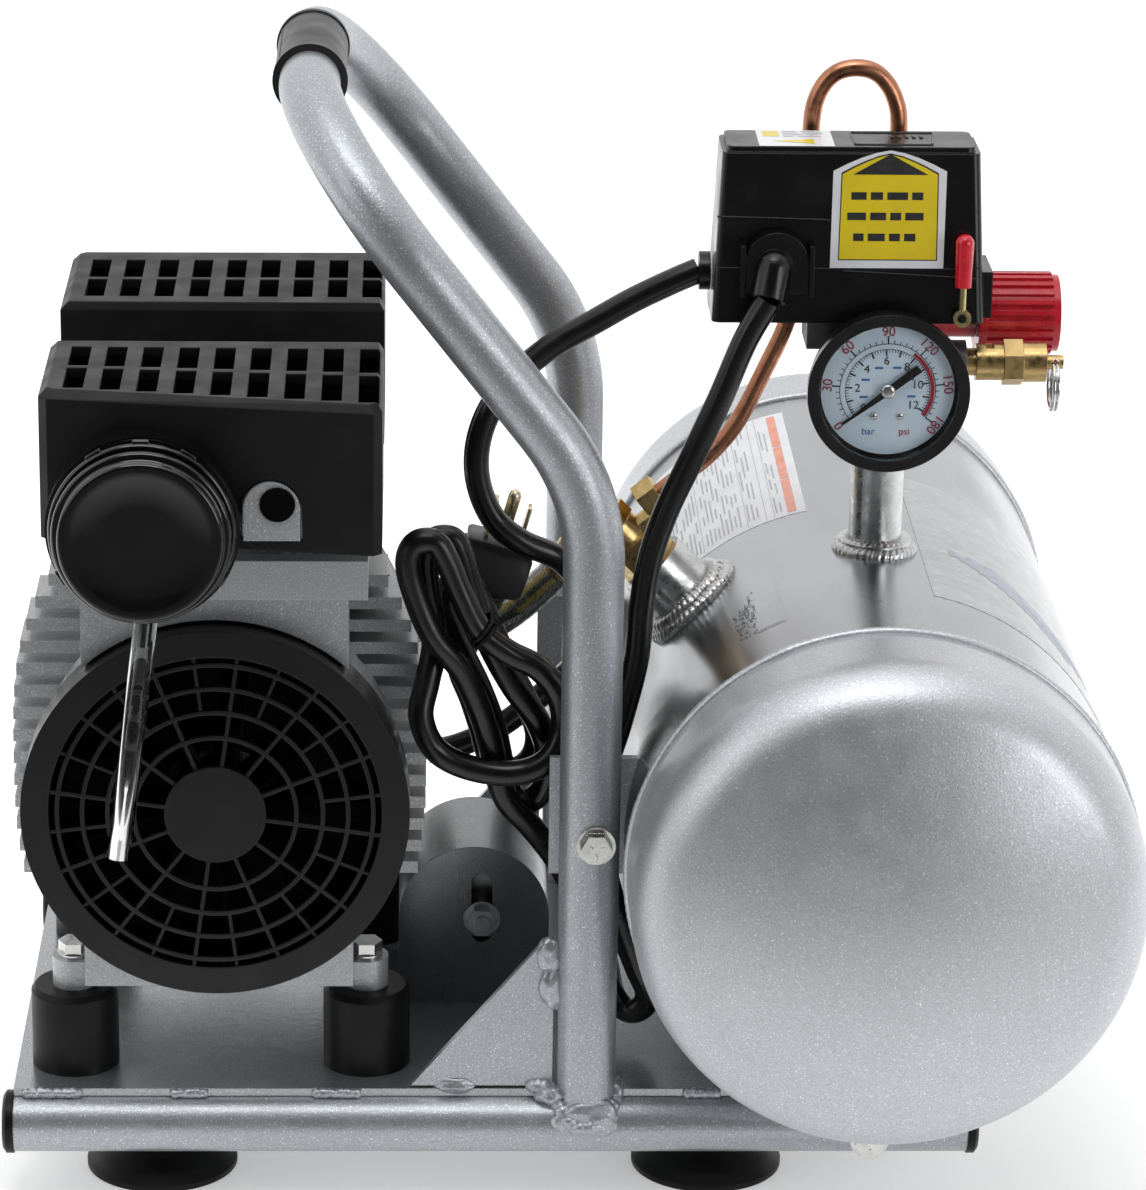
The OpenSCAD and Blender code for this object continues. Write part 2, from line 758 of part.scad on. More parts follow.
module manifold() {
    color("#8f9194") difference() {
        union() {
            span([riser.x - 14, -44.5, 286], [riser.x + 14, 0, switch_z0]);
            span([riser.x - 29, -46.5, 308], [riser.x + 9, -24, switch_z0]);
            rod_x(8.5, riser.x + 14, riser.x + 17, regulator_y, regulator_z);
            rod_x(8, riser.x + 14, riser.x + 29.3, valve_y, valve_z);
            translate([riser.x, riser.y, tank_z + tank_r + 55]) cylinder(r = 12.5, h = 5);
            rod_y(9, 0, 4, riser.x, 300);
        }
        translate([riser.x, riser.y, 280]) cylinder(r = 7, h = 20);
        rod_y(4, -46, 5, riser.x, 300);
        rod_y(5, -5, 5, riser.x, 300);
    }
}

function switch_half(z) = switch_width / 2 - 3 * (z - switch_z0) / (switch_z1 - switch_z0);
function switch_face(z) = switch_front_y + 6 * (z - switch_z0) / (switch_z1 - switch_z0);

// Box of the pressure switch between two heights, tapering and leaning back towards the top
module switch_shell(z0, z1, inset) {
    corner = 3;
    hull() for (z = [z0, z1 - 0.5], side = [-1, 1])
        for (y = [switch_face(z) + corner + inset, switch_back_y - corner - inset])
            translate([switch_x + side * (switch_half(z) - corner - inset), y, z])
                cylinder(r = corner, h = 0.5, $fn = 32);
}

split_z = 340;

module switch_base() {
    color("#101010") difference() {
        switch_shell(switch_z0, split_z, 0);
        span([switch_x - 38, -48, 324], [switch_x + 38, -26, 341]);
    }
    // lug that carries the lever's pivot, and the side lugs
    color("#101010") {
        rod_y(1.6, lever_pivot.y - 1.5, switch_front_y + 0.4, lever_pivot.x, lever_pivot.z);
        span([switch_x + 48, -50, switch_z0 + 1], [switch_x + 52, -26, 338]);
    }
}

module switch_cover() {
    color("#121213") difference() {
        union() {
            switch_shell(split_z, switch_z1 - 2, 0);
            switch_shell(switch_z1 - 2.5, switch_z1, 1.6);
        }
        switch_shell(split_z - over, switch_z1 - 3, 2.5);
    }
}

module switch_lever() {
    color("#b89a4a") translate(lever_pivot) {
        difference() {
            rod_y(3.2, -1.2, 1.2);
            rod_y(1.65, -2, 2);
        }
        translate([0, 0, 2.6]) cylinder(r = 1.3, h = 16, $fn = 24);
    }
}

module lever_sleeve() {
    color("#c8102e") translate(lever_pivot + [0, 0, 11.6]) difference() {
        union() {
            cylinder(r1 = 3, r2 = 3.3, h = 16);
            translate([0, 0, 16]) sphere(r = 3.3);
        }
        translate([0, 0, -over]) cylinder(r = 1.3, h = 8, $fn = 24);
    }
}

gland_end = [96.5, -64.5, 331];

// Arched front gland with ribs, and a round gland on the left side
module cord_glands() {
    color("#0d0d0d") {
        span([88, -59.5, 332], [111, switch_front_y + 1, 343]);
        rod_y(11.5, -59.5, switch_front_y + 1, 99.5, 343);
        for (x = [86.4, 111]) span([x, -61, 331], [x + 1.8, switch_front_y + 1, 350]);
        hull() {
            translate([98.5, -60.5, 342]) sphere(r = 6.5, $fn = 32);
            translate(gland_end) rotate([154, 16, 0]) translate([0, 0, -3]) cylinder(r = 6.1, h = 3, $fn = 32);
        }
        rod_x(7, 73, switch_x - switch_width / 2, -36.5, 334.5);
    }
}

module gauge_case() {
    r = gauge_diameter / 2;
    color("#101010") difference() {
        union() {
            rod_y(r, gauge_front_y, gauge_front_y + 3.5, gauge_x, gauge_z);
            rod_y(r - 1.6, gauge_front_y + 3.5, -56.5, gauge_x, gauge_z);
            rod_y(6.5, -56.5, -44.5, gauge_x, gauge_z);
        }
        rod_y(r - 4.2, gauge_front_y - over, gauge_front_y + 5, gauge_x, gauge_z);
        rod_y(r - 5.2, gauge_front_y - over, gauge_front_y + 9, gauge_x, gauge_z);
    }
}

module gauge_dial() {
    r = gauge_diameter / 2 - 5.2;
    color("#d5e3ee") rod_y(r, gauge_front_y + 5.2, gauge_front_y + 6.2, gauge_x, gauge_z);
    color("#b8b8b8") rod_y(0.8, gauge_front_y + 2.2, gauge_front_y + 5.2, gauge_x, gauge_z);
}

// Pointer at rest on the zero mark
module gauge_needle() {
    rest = 218;
    color("#101010") translate([gauge_x, gauge_front_y + 3.2, gauge_z]) rotate([0, -rest, 0]) difference() {
        union() {
            rod_y(2.1, -0.5, 1);
            rotate([90, 0, 0]) translate([0, 0, -0.6]) linear_extrude(0.6) polygon([
                [-14, -1.6], [-2, -1.4], [20.5, -0.25], [20.5, 0.25], [-2, 1.4], [-14, 1.6]
            ]);
        }
        rod_y(0.85, -1, 2);
    }
}

module gauge_lens() {
    color("#eef6fa", 0.3)
        rod_y(gauge_diameter / 2 - 4.3, gauge_front_y + 0.6, gauge_front_y + 1.6, gauge_x, gauge_z);
}

// ---------- regulator, safety valve and coupler ----------

module regulator_body() {
    x0 = riser.x + 17;
    color("#b3202c") {
        rod_x(9, x0, 176.6, regulator_y, regulator_z);
        rod_x(4, 176.6, 186, regulator_y, regulator_z);
    }
}

module regulator_knob() {
    r = knob_diameter / 2;
    ribs = 24;
    color("#cf1126") translate([0, regulator_y, regulator_z]) difference() {
        union() {
            rod_x(r - 1.1, 177, 207);
            for (i = [0 : ribs - 1]) rotate([i * 360 / ribs, 0, 0])
                translate([177, r - 2, -0.95]) cube([27.5, 2, 1.9]);
            rod_x(r, 177, 180);
        }
        rod_x(4.05, 176, 186.5);
    }
}

module safety_valve_body() {
    color("#b08d3c") translate([0, valve_y, valve_z]) difference() {
        union() {
            rod_x(5, riser.x + 29.3, 174);
            rod_x(6.7, 174, 184);
            translate([184, 0, 0]) rotate([0, 90, 0]) hex(15, 7);
            rod_x(7.3, 191, 199.5);
        }
        rod_x(2.65, 190, 200);
        for (z = [-8, 5.4]) span([177.5, -3, z], [180.5, 3, z + 2.6]);
    }
}

module safety_pin() {
    color("#c7a552") translate([0, valve_y, valve_z]) difference() {
        rod_x(2.6, 190.5, 206);
        rod_y(1.8, -4, 4, 203, 0);
    }
}

// Split pull ring hanging through the pin
module safety_ring() {
    color("#c8cbd0") translate([203, valve_y, valve_z - 8.8]) for (x = [-0.7, 0.7])
        translate([x, 0, 0]) rotate([0, 90, 0]) rotate_extrude() translate([8.8, 0]) circle(r = 0.75, $fn = 24);
}

module air_coupler() {
    color("#b08d3c") translate([riser.x, 4, 300]) difference() {
        union() {
            rotate([-90, 0, 0]) hex(20, 9);
            rod_y(coupler_r, 9, 38);
            rod_y(9, 38, 42);
        }
        rod_y(4, -1, 22);
        rod_y(6, 22, 43);
    }
}

// Sliding release sleeve of the quick coupler
module coupler_sleeve() {
    color("#c9b26a") translate([riser.x, 4, 300]) difference() {
        union() {
            rod_y(10.5, 17, 37.5);
            rod_y(11.2, 17, 22);
        }
        rod_y(coupler_r + 0.05, 16, 39);
    }
}

// ---------- fittings, hose and tubes ----------

check_end = tank_r + 21;
unloader_tilt = 52;

// Check valve on the slanted bung, its two nuts, the unloader elbow and the pump outlet elbow
module air_fittings() {
    color("#b08d3c") {
        in_bung_frame() {
            translate([0, 0, check_end]) hex(20, 12);
            translate([0, 0, check_end + 12]) cylinder(r = 8.4, h = 8);
            translate([0, 0, check_end + 20]) hex(16, 6);
        }
        translate([53.5, -14.5, 228]) rotate([0, unloader_tilt, 0]) cylinder(r = 5, h = 12);
        translate([55, -14.5, 239.2]) rotate([0, unloader_tilt, 0]) hex(12, 8);
        translate([riser.x + 0.5, switch_back_y, 322]) cube([9, 13, 12]);
        translate([riser.x + 5, -12.5, 334]) hex(11, 9);
    }
    color("#b08d3c") translate([pump_x, pump_y, 0]) {
        rod_y(crossover_r, cylinder_y + 24, -cylinder_y - 24, crossover.x, crossover.y);
        translate([crossover.x, 0, crossover.y]) sphere(r = 8);
        translate([crossover.x, 0, crossover.y]) rotate([0, 125, 0]) cylinder(r = 7.2, h = 15);
    }
}

unloader_route = [
    [146, -12.5, 343], [146, -12.5, 362], [146, -12.5, 383], [144.8, -12.5, 391],
    [141.4, -12.5, 398], [136.4, -12.5, 402.6], [130, -12.5, 404], [123.6, -12.5, 402.6],
    [118.4, -12.5, 398], [115, -12.5, 390], [114, -12.5, 378], [113.2, -12.5, 352],
    [111.2, -12.5, 325], [106.8, -12.8, 307], [99, -13, 289], [89.8, -13.3, 270],
    [79.6, -13.6, 257.2], [69.4, -14, 249.3], [61, -14.4, 242.8]
];

module unloader_tube() {
    color("#b06a44") swept_tube(unloader_route, copper_diameter, 16, 3);
}

hose_route = [
    [-59, -17.5, 254.3], [-54, -17.5, 249], [-50.5, -17.5, 240], [-49, -17.5, 222], [-46, -17, 205],
    [-38, -15, 193], [-26, -12, 187], [-12, -8, 185.5], [0, -5.5, 188.5], [10.6, -5.5, 196],
    [23.7, -7, 209], [32, -10, 220], [39.5, -13, 230.5]
];

module air_hose() {
    color("#9a9a98") swept_tube(hose_route, hose_diameter, 12, 3);
}

// ---------- cords ----------

lead_route = [
    [73, -36.5, 334.5], [64, -36.5, 330.5], [50, -36.5, 323.5], [37, -37, 316], [19, -38.5, 305.5],
    [3.5, -42, 292], [-5, -45.5, 277], [-6.6, -47.5, 260.5], [-1, -48, 244.5], [9.5, -48, 235],
    [24, -44.5, 227], [33, -37, 213], [36, -24, 195], [34, -8, 176], [22, 5, 158], [4, 8, 142],
    [-12, 8, 134], [-23.7, 8, 131.5]
];

module motor_lead() {
    color("#121212") swept_tube(lead_route, cord_diameter, 10, 1);
}

feed_route = [
    [96.5, -64.5, 331], [88.5, -65, 316.5], [80, -65.5, 295], [70, -66, 272], [61.6, -66.5, 253],
    [56, -67, 235], [53.2, -67.5, 216], [51.6, -68, 196], [46, -69, 172], [39, -70, 146],
    [40, -70, 122], [46, -70, 98], [54, -70, 76], [58.5, -68, 62], [55.5, -63, 55.5],
    [49, -59, 60], [43, -58.5, 76], [33, -62, 98], [22, -68, 116], [13, -74, 130]
];

plug_base = [-6, -31, 199];
tail_route = [
    [-15, -65.5, 200], [-14.5, -56, 196], [-10.5, -46, 192], [-7, -38, 193], plug_base
];

module power_cord() {
    color("#121212") {
        swept_tube(feed_route, cord_diameter, 10, 2);
        swept_tube(tail_route, cord_diameter, 10, 2);
    }
}

hank_circles = [[-12, 214, 23.5], [-15, 168, 20], [4, 151, 19]];
hank_y = [-87, -65.5];

// Outer shape of the folded and tied mains cord
module power_cord_hank() {
    color("#121212") translate([0, hank_y[1], 0]) rotate([90, 0, 0]) linear_extrude(hank_y[1] - hank_y[0])
        hull() for (c = hank_circles) translate([c.x, c.y]) circle(r = c.z, $fn = 48);
}

// Three-pin plug: moulded body, two flat blades and a round earth pin
module power_plug() {
    blade_gap = 12.7;
    color("#101010") translate(plug_base) rotate([0, 16, 0]) {
        cylinder(r = 7, h = 12);
        translate([-13, -9, 12]) cube([26, 18, 20]);
    }
    color("#c8b070") translate(plug_base) rotate([0, 16, 0]) {
        for (x = [-1, 1]) translate([x * blade_gap / 2 - 0.75, -6.2, 32]) cube([1.5, 6.4, 17]);
        translate([0, 5.2, 32]) cylinder(r = 2.4, h = 20);
    }
}

place() base_tubes();
place() tube_end_plugs();
place() base_plate();
place() frame_gussets();
place() handle_tube();
place() handle_grip();
place() suction_feet();
place() flange_bolts();
place() flange_nuts();
place() tank_brackets();
place() tank_barrel();
place() tank_heads();
place() tank_bungs();
place() drain_valve_body();
place() drain_valve_lever();
place() motor_housing();
place() end_brackets();
place() stator_core();
place() motor_bearings();
place() rotor_shaft();
place() cooling_fans();
place() fan_guards();
place() pistons();
place() cylinder_sleeves();
place() valve_plates();
place() cylinder_heads();
place() head_port_plugs();
place() front_head_cover();
place() rear_head_cover();
place() filter_body();
place() filter_element();
place() filter_cap();
place() intake_tube();
place() rubber_mounts();
place() capacitor_cover();
place() capacitor();
place() manifold();
place() switch_base();
place() switch_cover();
place() switch_lever();
place() lever_sleeve();
place() cord_glands();
place() gauge_case();
place() gauge_dial();
place() gauge_needle();
place() gauge_lens();
place() regulator_body();
place() regulator_knob();
place() safety_valve_body();
place() safety_pin();
place() safety_ring();
place() air_coupler();
place() coupler_sleeve();
place() air_fittings();
place() unloader_tube();
place() air_hose();
place() motor_lead();
place() power_cord();
place() power_cord_hank();
place() power_plug();
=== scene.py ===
import random
from math import atan2, ceil, copysign, cos, pi, radians, sin, sqrt

import bmesh
import bpy
from mathutils import Matrix, Vector, noise


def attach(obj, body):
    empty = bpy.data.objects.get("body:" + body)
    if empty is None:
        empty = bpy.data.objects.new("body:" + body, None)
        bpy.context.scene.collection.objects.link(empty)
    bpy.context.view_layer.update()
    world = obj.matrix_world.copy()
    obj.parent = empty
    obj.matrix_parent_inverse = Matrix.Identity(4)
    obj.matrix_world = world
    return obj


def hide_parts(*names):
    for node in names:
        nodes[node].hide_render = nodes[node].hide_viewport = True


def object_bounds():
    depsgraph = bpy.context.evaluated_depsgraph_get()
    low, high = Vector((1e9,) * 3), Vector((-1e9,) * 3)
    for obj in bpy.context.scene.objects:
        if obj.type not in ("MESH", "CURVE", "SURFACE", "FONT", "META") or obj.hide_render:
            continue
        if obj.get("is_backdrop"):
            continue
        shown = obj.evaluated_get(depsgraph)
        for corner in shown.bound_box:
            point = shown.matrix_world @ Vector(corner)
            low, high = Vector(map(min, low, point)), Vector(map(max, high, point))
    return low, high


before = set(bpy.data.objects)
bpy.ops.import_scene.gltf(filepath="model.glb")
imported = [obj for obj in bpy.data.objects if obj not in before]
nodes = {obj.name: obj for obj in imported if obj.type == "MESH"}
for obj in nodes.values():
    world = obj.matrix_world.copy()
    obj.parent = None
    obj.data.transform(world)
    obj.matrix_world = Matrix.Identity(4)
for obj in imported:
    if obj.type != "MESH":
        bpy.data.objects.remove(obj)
cad_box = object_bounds()

MM = 0.001
TURN = 2 * pi
MIDDLE = Vector((26.25, 19.7, 0))      # middle of the outline, from the middle of the base, in mm


def at(x, y, z):
    """A point given in mm from the middle of the base, as a point of the row frame in metres."""
    return (Vector((x, y, z)) - MIDDLE) * MM


def polar(radius, angle):
    return radius * cos(angle), radius * sin(angle)


def angles_round(count):
    return [TURN * k / count for k in range(count)]


# ---------- camera ----------

CAMERA_PLACE = Vector((-0.05788, -1.72441, 0.78489))
CAMERA_YAW = 0.0335
CAMERA_PITCH = 0.3311
CAMERA_ROLL = 0.0145
CAMERA_LENS = 144.68
CAMERA_SENSOR = 36
CAMERA_FAR_CLIP = 50
CAMERA_SHIFT = (0.01168, -0.00176)


def linked(name, data):
    """New object in the scene."""
    made = bpy.data.objects.new(name, data)
    bpy.context.scene.collection.objects.link(made)
    return made


def make_camera():
    """Camera at the photograph's viewing angle, from its yaw, pitch and roll in radians."""
    along, side = cos(CAMERA_YAW), sin(CAMERA_YAW)
    ahead = Vector((side * cos(CAMERA_PITCH), along * cos(CAMERA_PITCH), -sin(CAMERA_PITCH)))
    level = Vector((along, -side, 0))
    upright = level.cross(ahead)
    right = cos(CAMERA_ROLL) * level + sin(CAMERA_ROLL) * upright
    up = cos(CAMERA_ROLL) * upright - sin(CAMERA_ROLL) * level
    data = bpy.data.cameras.new("camera")
    data.sensor_width = CAMERA_SENSOR
    data.lens = CAMERA_LENS
    data.shift_x, data.shift_y = CAMERA_SHIFT
    data.clip_end = CAMERA_FAR_CLIP
    camera = linked("camera", data)
    turn = Matrix((right, up, -ahead)).transposed().to_4x4()
    camera.matrix_world = Matrix.Translation(CAMERA_PLACE) @ turn
    bpy.context.scene.camera = camera


make_camera()

# ---------- materials ----------

COAT_ROUGHNESS = 0.12
EDGE_SAMPLES = 4


def fill(sockets, values):
    """Sets the plain values of a node's sockets by their names."""
    for name, value in values.items():
        sockets[name].default_value = value


def set_range(step, low, high, bottom, top):
    """Makes a Map Range node take low..high to bottom..top."""
    fill(step.inputs, {"From Min": low, "From Max": high, "To Min": bottom, "To Max": top})


class Finish:
    """One procedural material. Sizes and heights are in mm, in the frame of the object."""

    def __init__(self, name, colour, roughness, metal=0.0, coat=0.0, edge=0.0, level=0.5):
        self.material = bpy.data.materials.new(name)
        self.material.use_nodes = True
        self.tree = self.material.node_tree
        self.link = self.tree.links.new
        self.shader = self.tree.nodes["Principled BSDF"].inputs
        self.place = self.new("TexCoord").outputs["Object"]
        self.colour = self.plain(colour)
        self.rough = roughness
        fill(self.shader, {
            "Base Color": self.colour, "Roughness": roughness, "Metallic": metal,
            "Specular IOR Level": level, "Coat Weight": coat, "Coat Roughness": COAT_ROUGHNESS,
        })
        self.normal = None
        if edge:
            round_edge = self.new("Bevel")
            round_edge.samples = EDGE_SAMPLES
            round_edge.inputs["Radius"].default_value = edge * MM
            self.bend_light(round_edge)

    def new(self, kind):
        return self.tree.nodes.new("ShaderNode" + kind)

    def bend_light(self, node):
        """Makes a node's normal the one that the surface is shaded with."""
        self.normal = node.outputs["Normal"]
        self.link(self.normal, self.shader["Normal"])

    @staticmethod
    def plain(colour):
        if isinstance(colour, (int, float)):
            colour = (colour, colour, colour)
        return (*colour, 1.0)

    def noise(self, size, detail=2.0, stretch=None):
        texture = self.new("TexNoise")
        fill(texture.inputs, {"Scale": 1 / (size * MM), "Detail": detail})
        place = self.place
        if stretch:
            scale = self.new("Mapping")
            scale.inputs["Scale"].default_value = stretch
            self.link(place, scale.inputs["Vector"])
            place = scale.outputs["Vector"]
        self.link(place, texture.inputs["Vector"])
        return texture.outputs["Fac"]

    def band(self, value, low, high, bottom=0.0, top=1.0):
        """value mapped from low..high to bottom..top, and held at the ends."""
        step = self.new("MapRange")
        set_range(step, low, high, bottom, top)
        self.link(value, step.inputs["Value"])
        return step.outputs["Result"]

    def tint(self, colour, share):
        """Lays another colour over the base by a 0..1 value."""
        mix = self.new("Mix")
        mix.data_type = "RGBA"
        if hasattr(self.colour, "is_linked"):
            self.link(self.colour, mix.inputs["A"])
        else:
            mix.inputs["A"].default_value = self.colour
        mix.inputs["B"].default_value = self.plain(colour)
        self.link(share, mix.inputs["Factor"])
        self.colour = mix.outputs["Result"]
        self.link(self.colour, self.shader["Base Color"])
        return self

    def mottle(self, size, colour, amount=1.0, low=0.4, high=0.65, stretch=None):
        """Patches of another colour, where the noise lies between low and high or above."""
        return self.tint(colour, self.band(self.noise(size, 3, stretch), low, high, 0, amount))

    def gloss(self, size, spread, stretch=None):
        """Roughness wanders by spread either way over patches of this size."""
        low, high = self.rough - spread, self.rough + spread
        varied = self.band(self.noise(size, 3, stretch), 0.3, 0.7, low, high)
        self.link(varied, self.shader["Roughness"])
        return self

    def grain(self, size, height, detail=2.0, stretch=None):
        """Bumps of this size and height, over the bumps that are there already."""
        bump = self.new("Bump")
        fill(bump.inputs, {"Distance": height * MM, "Strength": 1.0})
        self.link(self.noise(size, detail, stretch), bump.inputs["Height"])
        if self.normal:
            self.link(self.normal, bump.inputs["Normal"])
        self.bend_light(bump)
        return self


def powder(name, tone, dark, flake, metal=0.75, roughness=0.4):
    """Silver hammertone powder coat: fine flakes over an orange-peel skin."""
    made = Finish(name, tone, roughness, metal=metal, coat=0.2, edge=0.5)
    made.mottle(40, dark, 0.12, 0.4, 0.7)
    made.mottle(0.7, dark, 0.6, 0.5, 0.66).mottle(0.6, flake, 0.9, 0.58, 0.7)
    made.gloss(12, 0.04)
    return made.grain(2.6, 0.05).grain(0.75, 0.075)


def plastic(name, tone, roughness, edge=0.5, grain=(0.5, 0.012), coat=0.0, level=0.5):
    """Moulded plastic or rubber with a fine grain (size, height), dust and handling marks."""
    lighter = tone * 1.6 + 0.003
    made = Finish(name, tone, roughness, edge=edge, coat=coat, level=level)
    made.mottle(22, lighter, 0.5, 0.5, 0.75).mottle(0.8, lighter, 0.5, 0.66, 0.74)
    made.gloss(14, 0.08)
    return made.grain(*grain).grain(9, 0.03)


def metal(name, tone, roughness, stain, edge=0.25, grain=(0.7, 0.01), stretch=None):
    """Bare or plated metal with stains, worn patches and a fine grain (size, height)."""
    made = Finish(name, tone, roughness, metal=1.0, edge=edge)
    made.mottle(7, stain, 0.6, 0.45, 0.75, stretch).mottle(1.1, stain, 0.4, 0.55, 0.75)
    made.gloss(3, 0.1, stretch)
    return made.grain(*grain, stretch=stretch)


def ink(name, tone, lighter, roughness=0.45, size=2):
    """Printed mark, a little uneven."""
    return Finish(name, tone, roughness).mottle(size, lighter, 0.6).gloss(3, 0.06)


def paper(name, tone, shade, roughness, size, gloss_size):
    """Glossy label stock with faint waves."""
    made = Finish(name, tone, roughness, coat=0.3)
    return made.mottle(size, shade, 0.6).gloss(gloss_size, 0.06).grain(5, 0.01)


def clear(name, tone, roughness, refraction):
    made = Finish(name, tone, roughness)
    fill(made.shader, {"Transmission Weight": 1.0, "IOR": refraction})
    return made


frame_paint = powder("silver_powder", (0.44, 0.46, 0.485), (0.30, 0.315, 0.335), (0.90, 0.93, 0.97))
# painted shade: the plate takes a darker copy of the frame's silver powder, for the dark area under the
# motor
plate_paint = powder(
    "plate_powder", (0.38, 0.395, 0.41), (0.24, 0.25, 0.26), (0.8, 0.82, 0.84), roughness=0.22)
tank_paint = powder(
    "tank_powder", (0.58, 0.60, 0.625), (0.42, 0.435, 0.455), (0.95, 0.97, 1.0), roughness=0.42)
cover_paint = powder(
    "grey_powder", (0.20, 0.205, 0.21), (0.15, 0.155, 0.16), (0.32, 0.33, 0.34), roughness=0.3)
cast_paint = powder(
    "cast_paint", (0.45, 0.465, 0.48), (0.31, 0.32, 0.33), (0.9, 0.92, 0.94), 0.55, 0.45)

barrel_metal = Finish("bare_aluminium", (0.43, 0.44, 0.455), 0.25, metal=1.0)
barrel_metal.mottle(45, (0.34, 0.35, 0.365), 0.6, 0.4, 0.7, (1, 0.35, 1))
barrel_metal.mottle(2.2, 0.36, 0.35, 0.62, 0.75, (1, 0.2, 1))
barrel_metal.mottle(1.4, (0.14, 0.14, 0.13), 0.7, 0.76, 0.8)
barrel_metal.gloss(28, 0.07, (1, 0.3, 1)).grain(1.1, 0.006, 3, (1, 0.12, 1)).grain(30, 0.12)

weld_metal = metal("weld_metal", (0.62, 0.625, 0.63), 0.32, 0.45, grain=(1.6, 0.02))
bung_metal = metal("bung_metal", (0.60, 0.61, 0.61), 0.3, (0.36, 0.37, 0.37), grain=(0.8, 0.02))
zinc = metal("zinc_plate", (0.74, 0.74, 0.72), 0.2, (0.48, 0.48, 0.45))
steel = metal("bright_steel", 0.66, 0.25, 0.42)
ring_steel = metal("ring_steel", (0.75, 0.76, 0.78), 0.16, (0.5, 0.5, 0.52))
brass = metal("brass", (0.62, 0.44, 0.19), 0.3, (0.36, 0.25, 0.11), 0.4, (0.7, 0.015))
dull_brass = metal("dull_brass", (0.50, 0.36, 0.17), 0.38, (0.27, 0.19, 0.10), 0.5, (0.7, 0.02))
yellow_zinc = metal("yellow_zinc", (0.66, 0.56, 0.28), 0.26, (0.45, 0.35, 0.14))
blade_brass = metal("blade_brass", (0.80, 0.72, 0.50), 0.3, (0.60, 0.52, 0.33))
copper = metal("copper", (0.55, 0.25, 0.145), 0.33, (0.30, 0.13, 0.08), grain=(1.2, 0.012))
grey_metal = metal("grey_metal", (0.30, 0.30, 0.31), 0.45, (0.18, 0.18, 0.185), grain=(1.0, 0.03))
hose_steel = metal("braid_steel", (0.66, 0.66, 0.63), 0.32, (0.40, 0.40, 0.37), edge=0)
winding = metal("winding", (0.45, 0.22, 0.10), 0.4, (0.25, 0.12, 0.06), stretch=(1, 0.1, 1))

cover_plastic = plastic("cover_plastic", 0.008, 0.45, 1.0, (0.6, 0.02), level=0.25)
guard_plastic = plastic("guard_plastic", 0.004, 0.34, 0.8, level=0.35)
fan_plastic = plastic("fan_plastic", 0.0015, 0.6, level=0.06)
filter_plastic = plastic("filter_plastic", 0.0025, 0.12, 0, (0.5, 0.003), 0.6, 0.4)
switch_plastic = plastic("switch_plastic", 0.004, 0.26, 0.9, (0.45, 0.006), 0.15, 0.4)
gauge_black = plastic("gauge_black", 0.006, 0.25, 0.7, (0.5, 0.006), 0.3)
rubber = plastic("black_rubber", 0.006, 0.42, 0.8, (0.7, 0.015), level=0.2)
grip_rubber = plastic("grip_rubber", 0.013, 0.42, 0.5, (0.8, 0.03))
cord_rubber = plastic("cord_rubber", 0.005, 0.26, 0, (0.6, 0.012))
plug_vinyl = plastic("plug_vinyl", 0.045, 0.45, 0.8, (0.6, 0.02))

knob_red = Finish("knob_red", (0.60, 0.012, 0.028), 0.3, edge=0.5, coat=0.2)
knob_red.mottle(6, (0.42, 0.006, 0.016), 0.6).gloss(5, 0.07).grain(0.7, 0.012)
sleeve_red = Finish("sleeve_red", (0.70, 0.012, 0.030), 0.24, coat=0.35)
sleeve_red.mottle(5, (0.52, 0.006, 0.02), 0.6).gloss(4, 0.06).grain(2.0, 0.02)
clear_tube = clear("clear_tube", (0.98, 0.99, 0.99), 0.04, 1.22)
clear_tube.mottle(5, (0.94, 0.96, 0.96), 0.5).gloss(4, 0.03).grain(6, 0.004)
lens_glass = clear("lens_glass", 1, 0.03, 1.02)
lens_glass.gloss(8, 0.02).grain(12, 0.004)
foam = Finish("filter_foam", (0.80, 0.78, 0.70), 0.9)
foam.mottle(1.5, (0.5, 0.48, 0.42), 0.8).grain(1.2, 0.3)
can_metal = metal("capacitor_can", (0.55, 0.56, 0.57), 0.35, (0.38, 0.38, 0.39))

dial_enamel = Finish("dial_enamel", (0.62, 0.76, 0.87), 0.42)
dial_enamel.mottle(14, (0.70, 0.81, 0.90), 0.6).gloss(8, 0.06).grain(0.4, 0.002)
print_black = ink("print_black", 0.018, 0.035)
print_red = ink("print_red", (0.34, 0.012, 0.03), (0.44, 0.02, 0.04))
print_blue = ink("print_blue", (0.03, 0.16, 0.42), (0.05, 0.2, 0.5))
print_grey = ink("print_grey", (0.42, 0.43, 0.46), (0.55, 0.56, 0.6), 0.5, 3)
label_white = paper("label_white", (0.80, 0.81, 0.84), (0.72, 0.73, 0.77), 0.36, 16, 8)
label_orange = paper("label_orange", (0.83, 0.30, 0.18), (0.72, 0.24, 0.14), 0.38, 7, 6)
label_yellow = paper("label_yellow", (0.80, 0.62, 0.015), (0.72, 0.55, 0.02), 0.35, 12, 6)
yarn_yellow = Finish("yarn_yellow", (0.50, 0.38, 0.06), 0.6)
yarn_yellow.mottle(1.2, (0.28, 0.2, 0.03), 0.8).grain(0.4, 0.05)
film = Finish("clear_film", (0.43, 0.44, 0.455), 0.34, metal=0.85, coat=0.3)
# painted highlights: the lighter patches, broad and fine, stand in for glints on the film
film.mottle(10, (0.50, 0.51, 0.525), 0.6, 0.42, 0.62, (0.25, 1, 1))
film.mottle(1.6, (0.72, 0.73, 0.75), 0.4, 0.55, 0.7, (0.3, 1, 1))
film.gloss(6, 0.06).grain(2.4, 0.012, 3, (0.3, 1, 1))
film_print = Finish("film_print", (0.42, 0.46, 0.54), 0.4, metal=0.6)
film_print.mottle(5, (0.50, 0.53, 0.60), 0.6).gloss(4, 0.06)

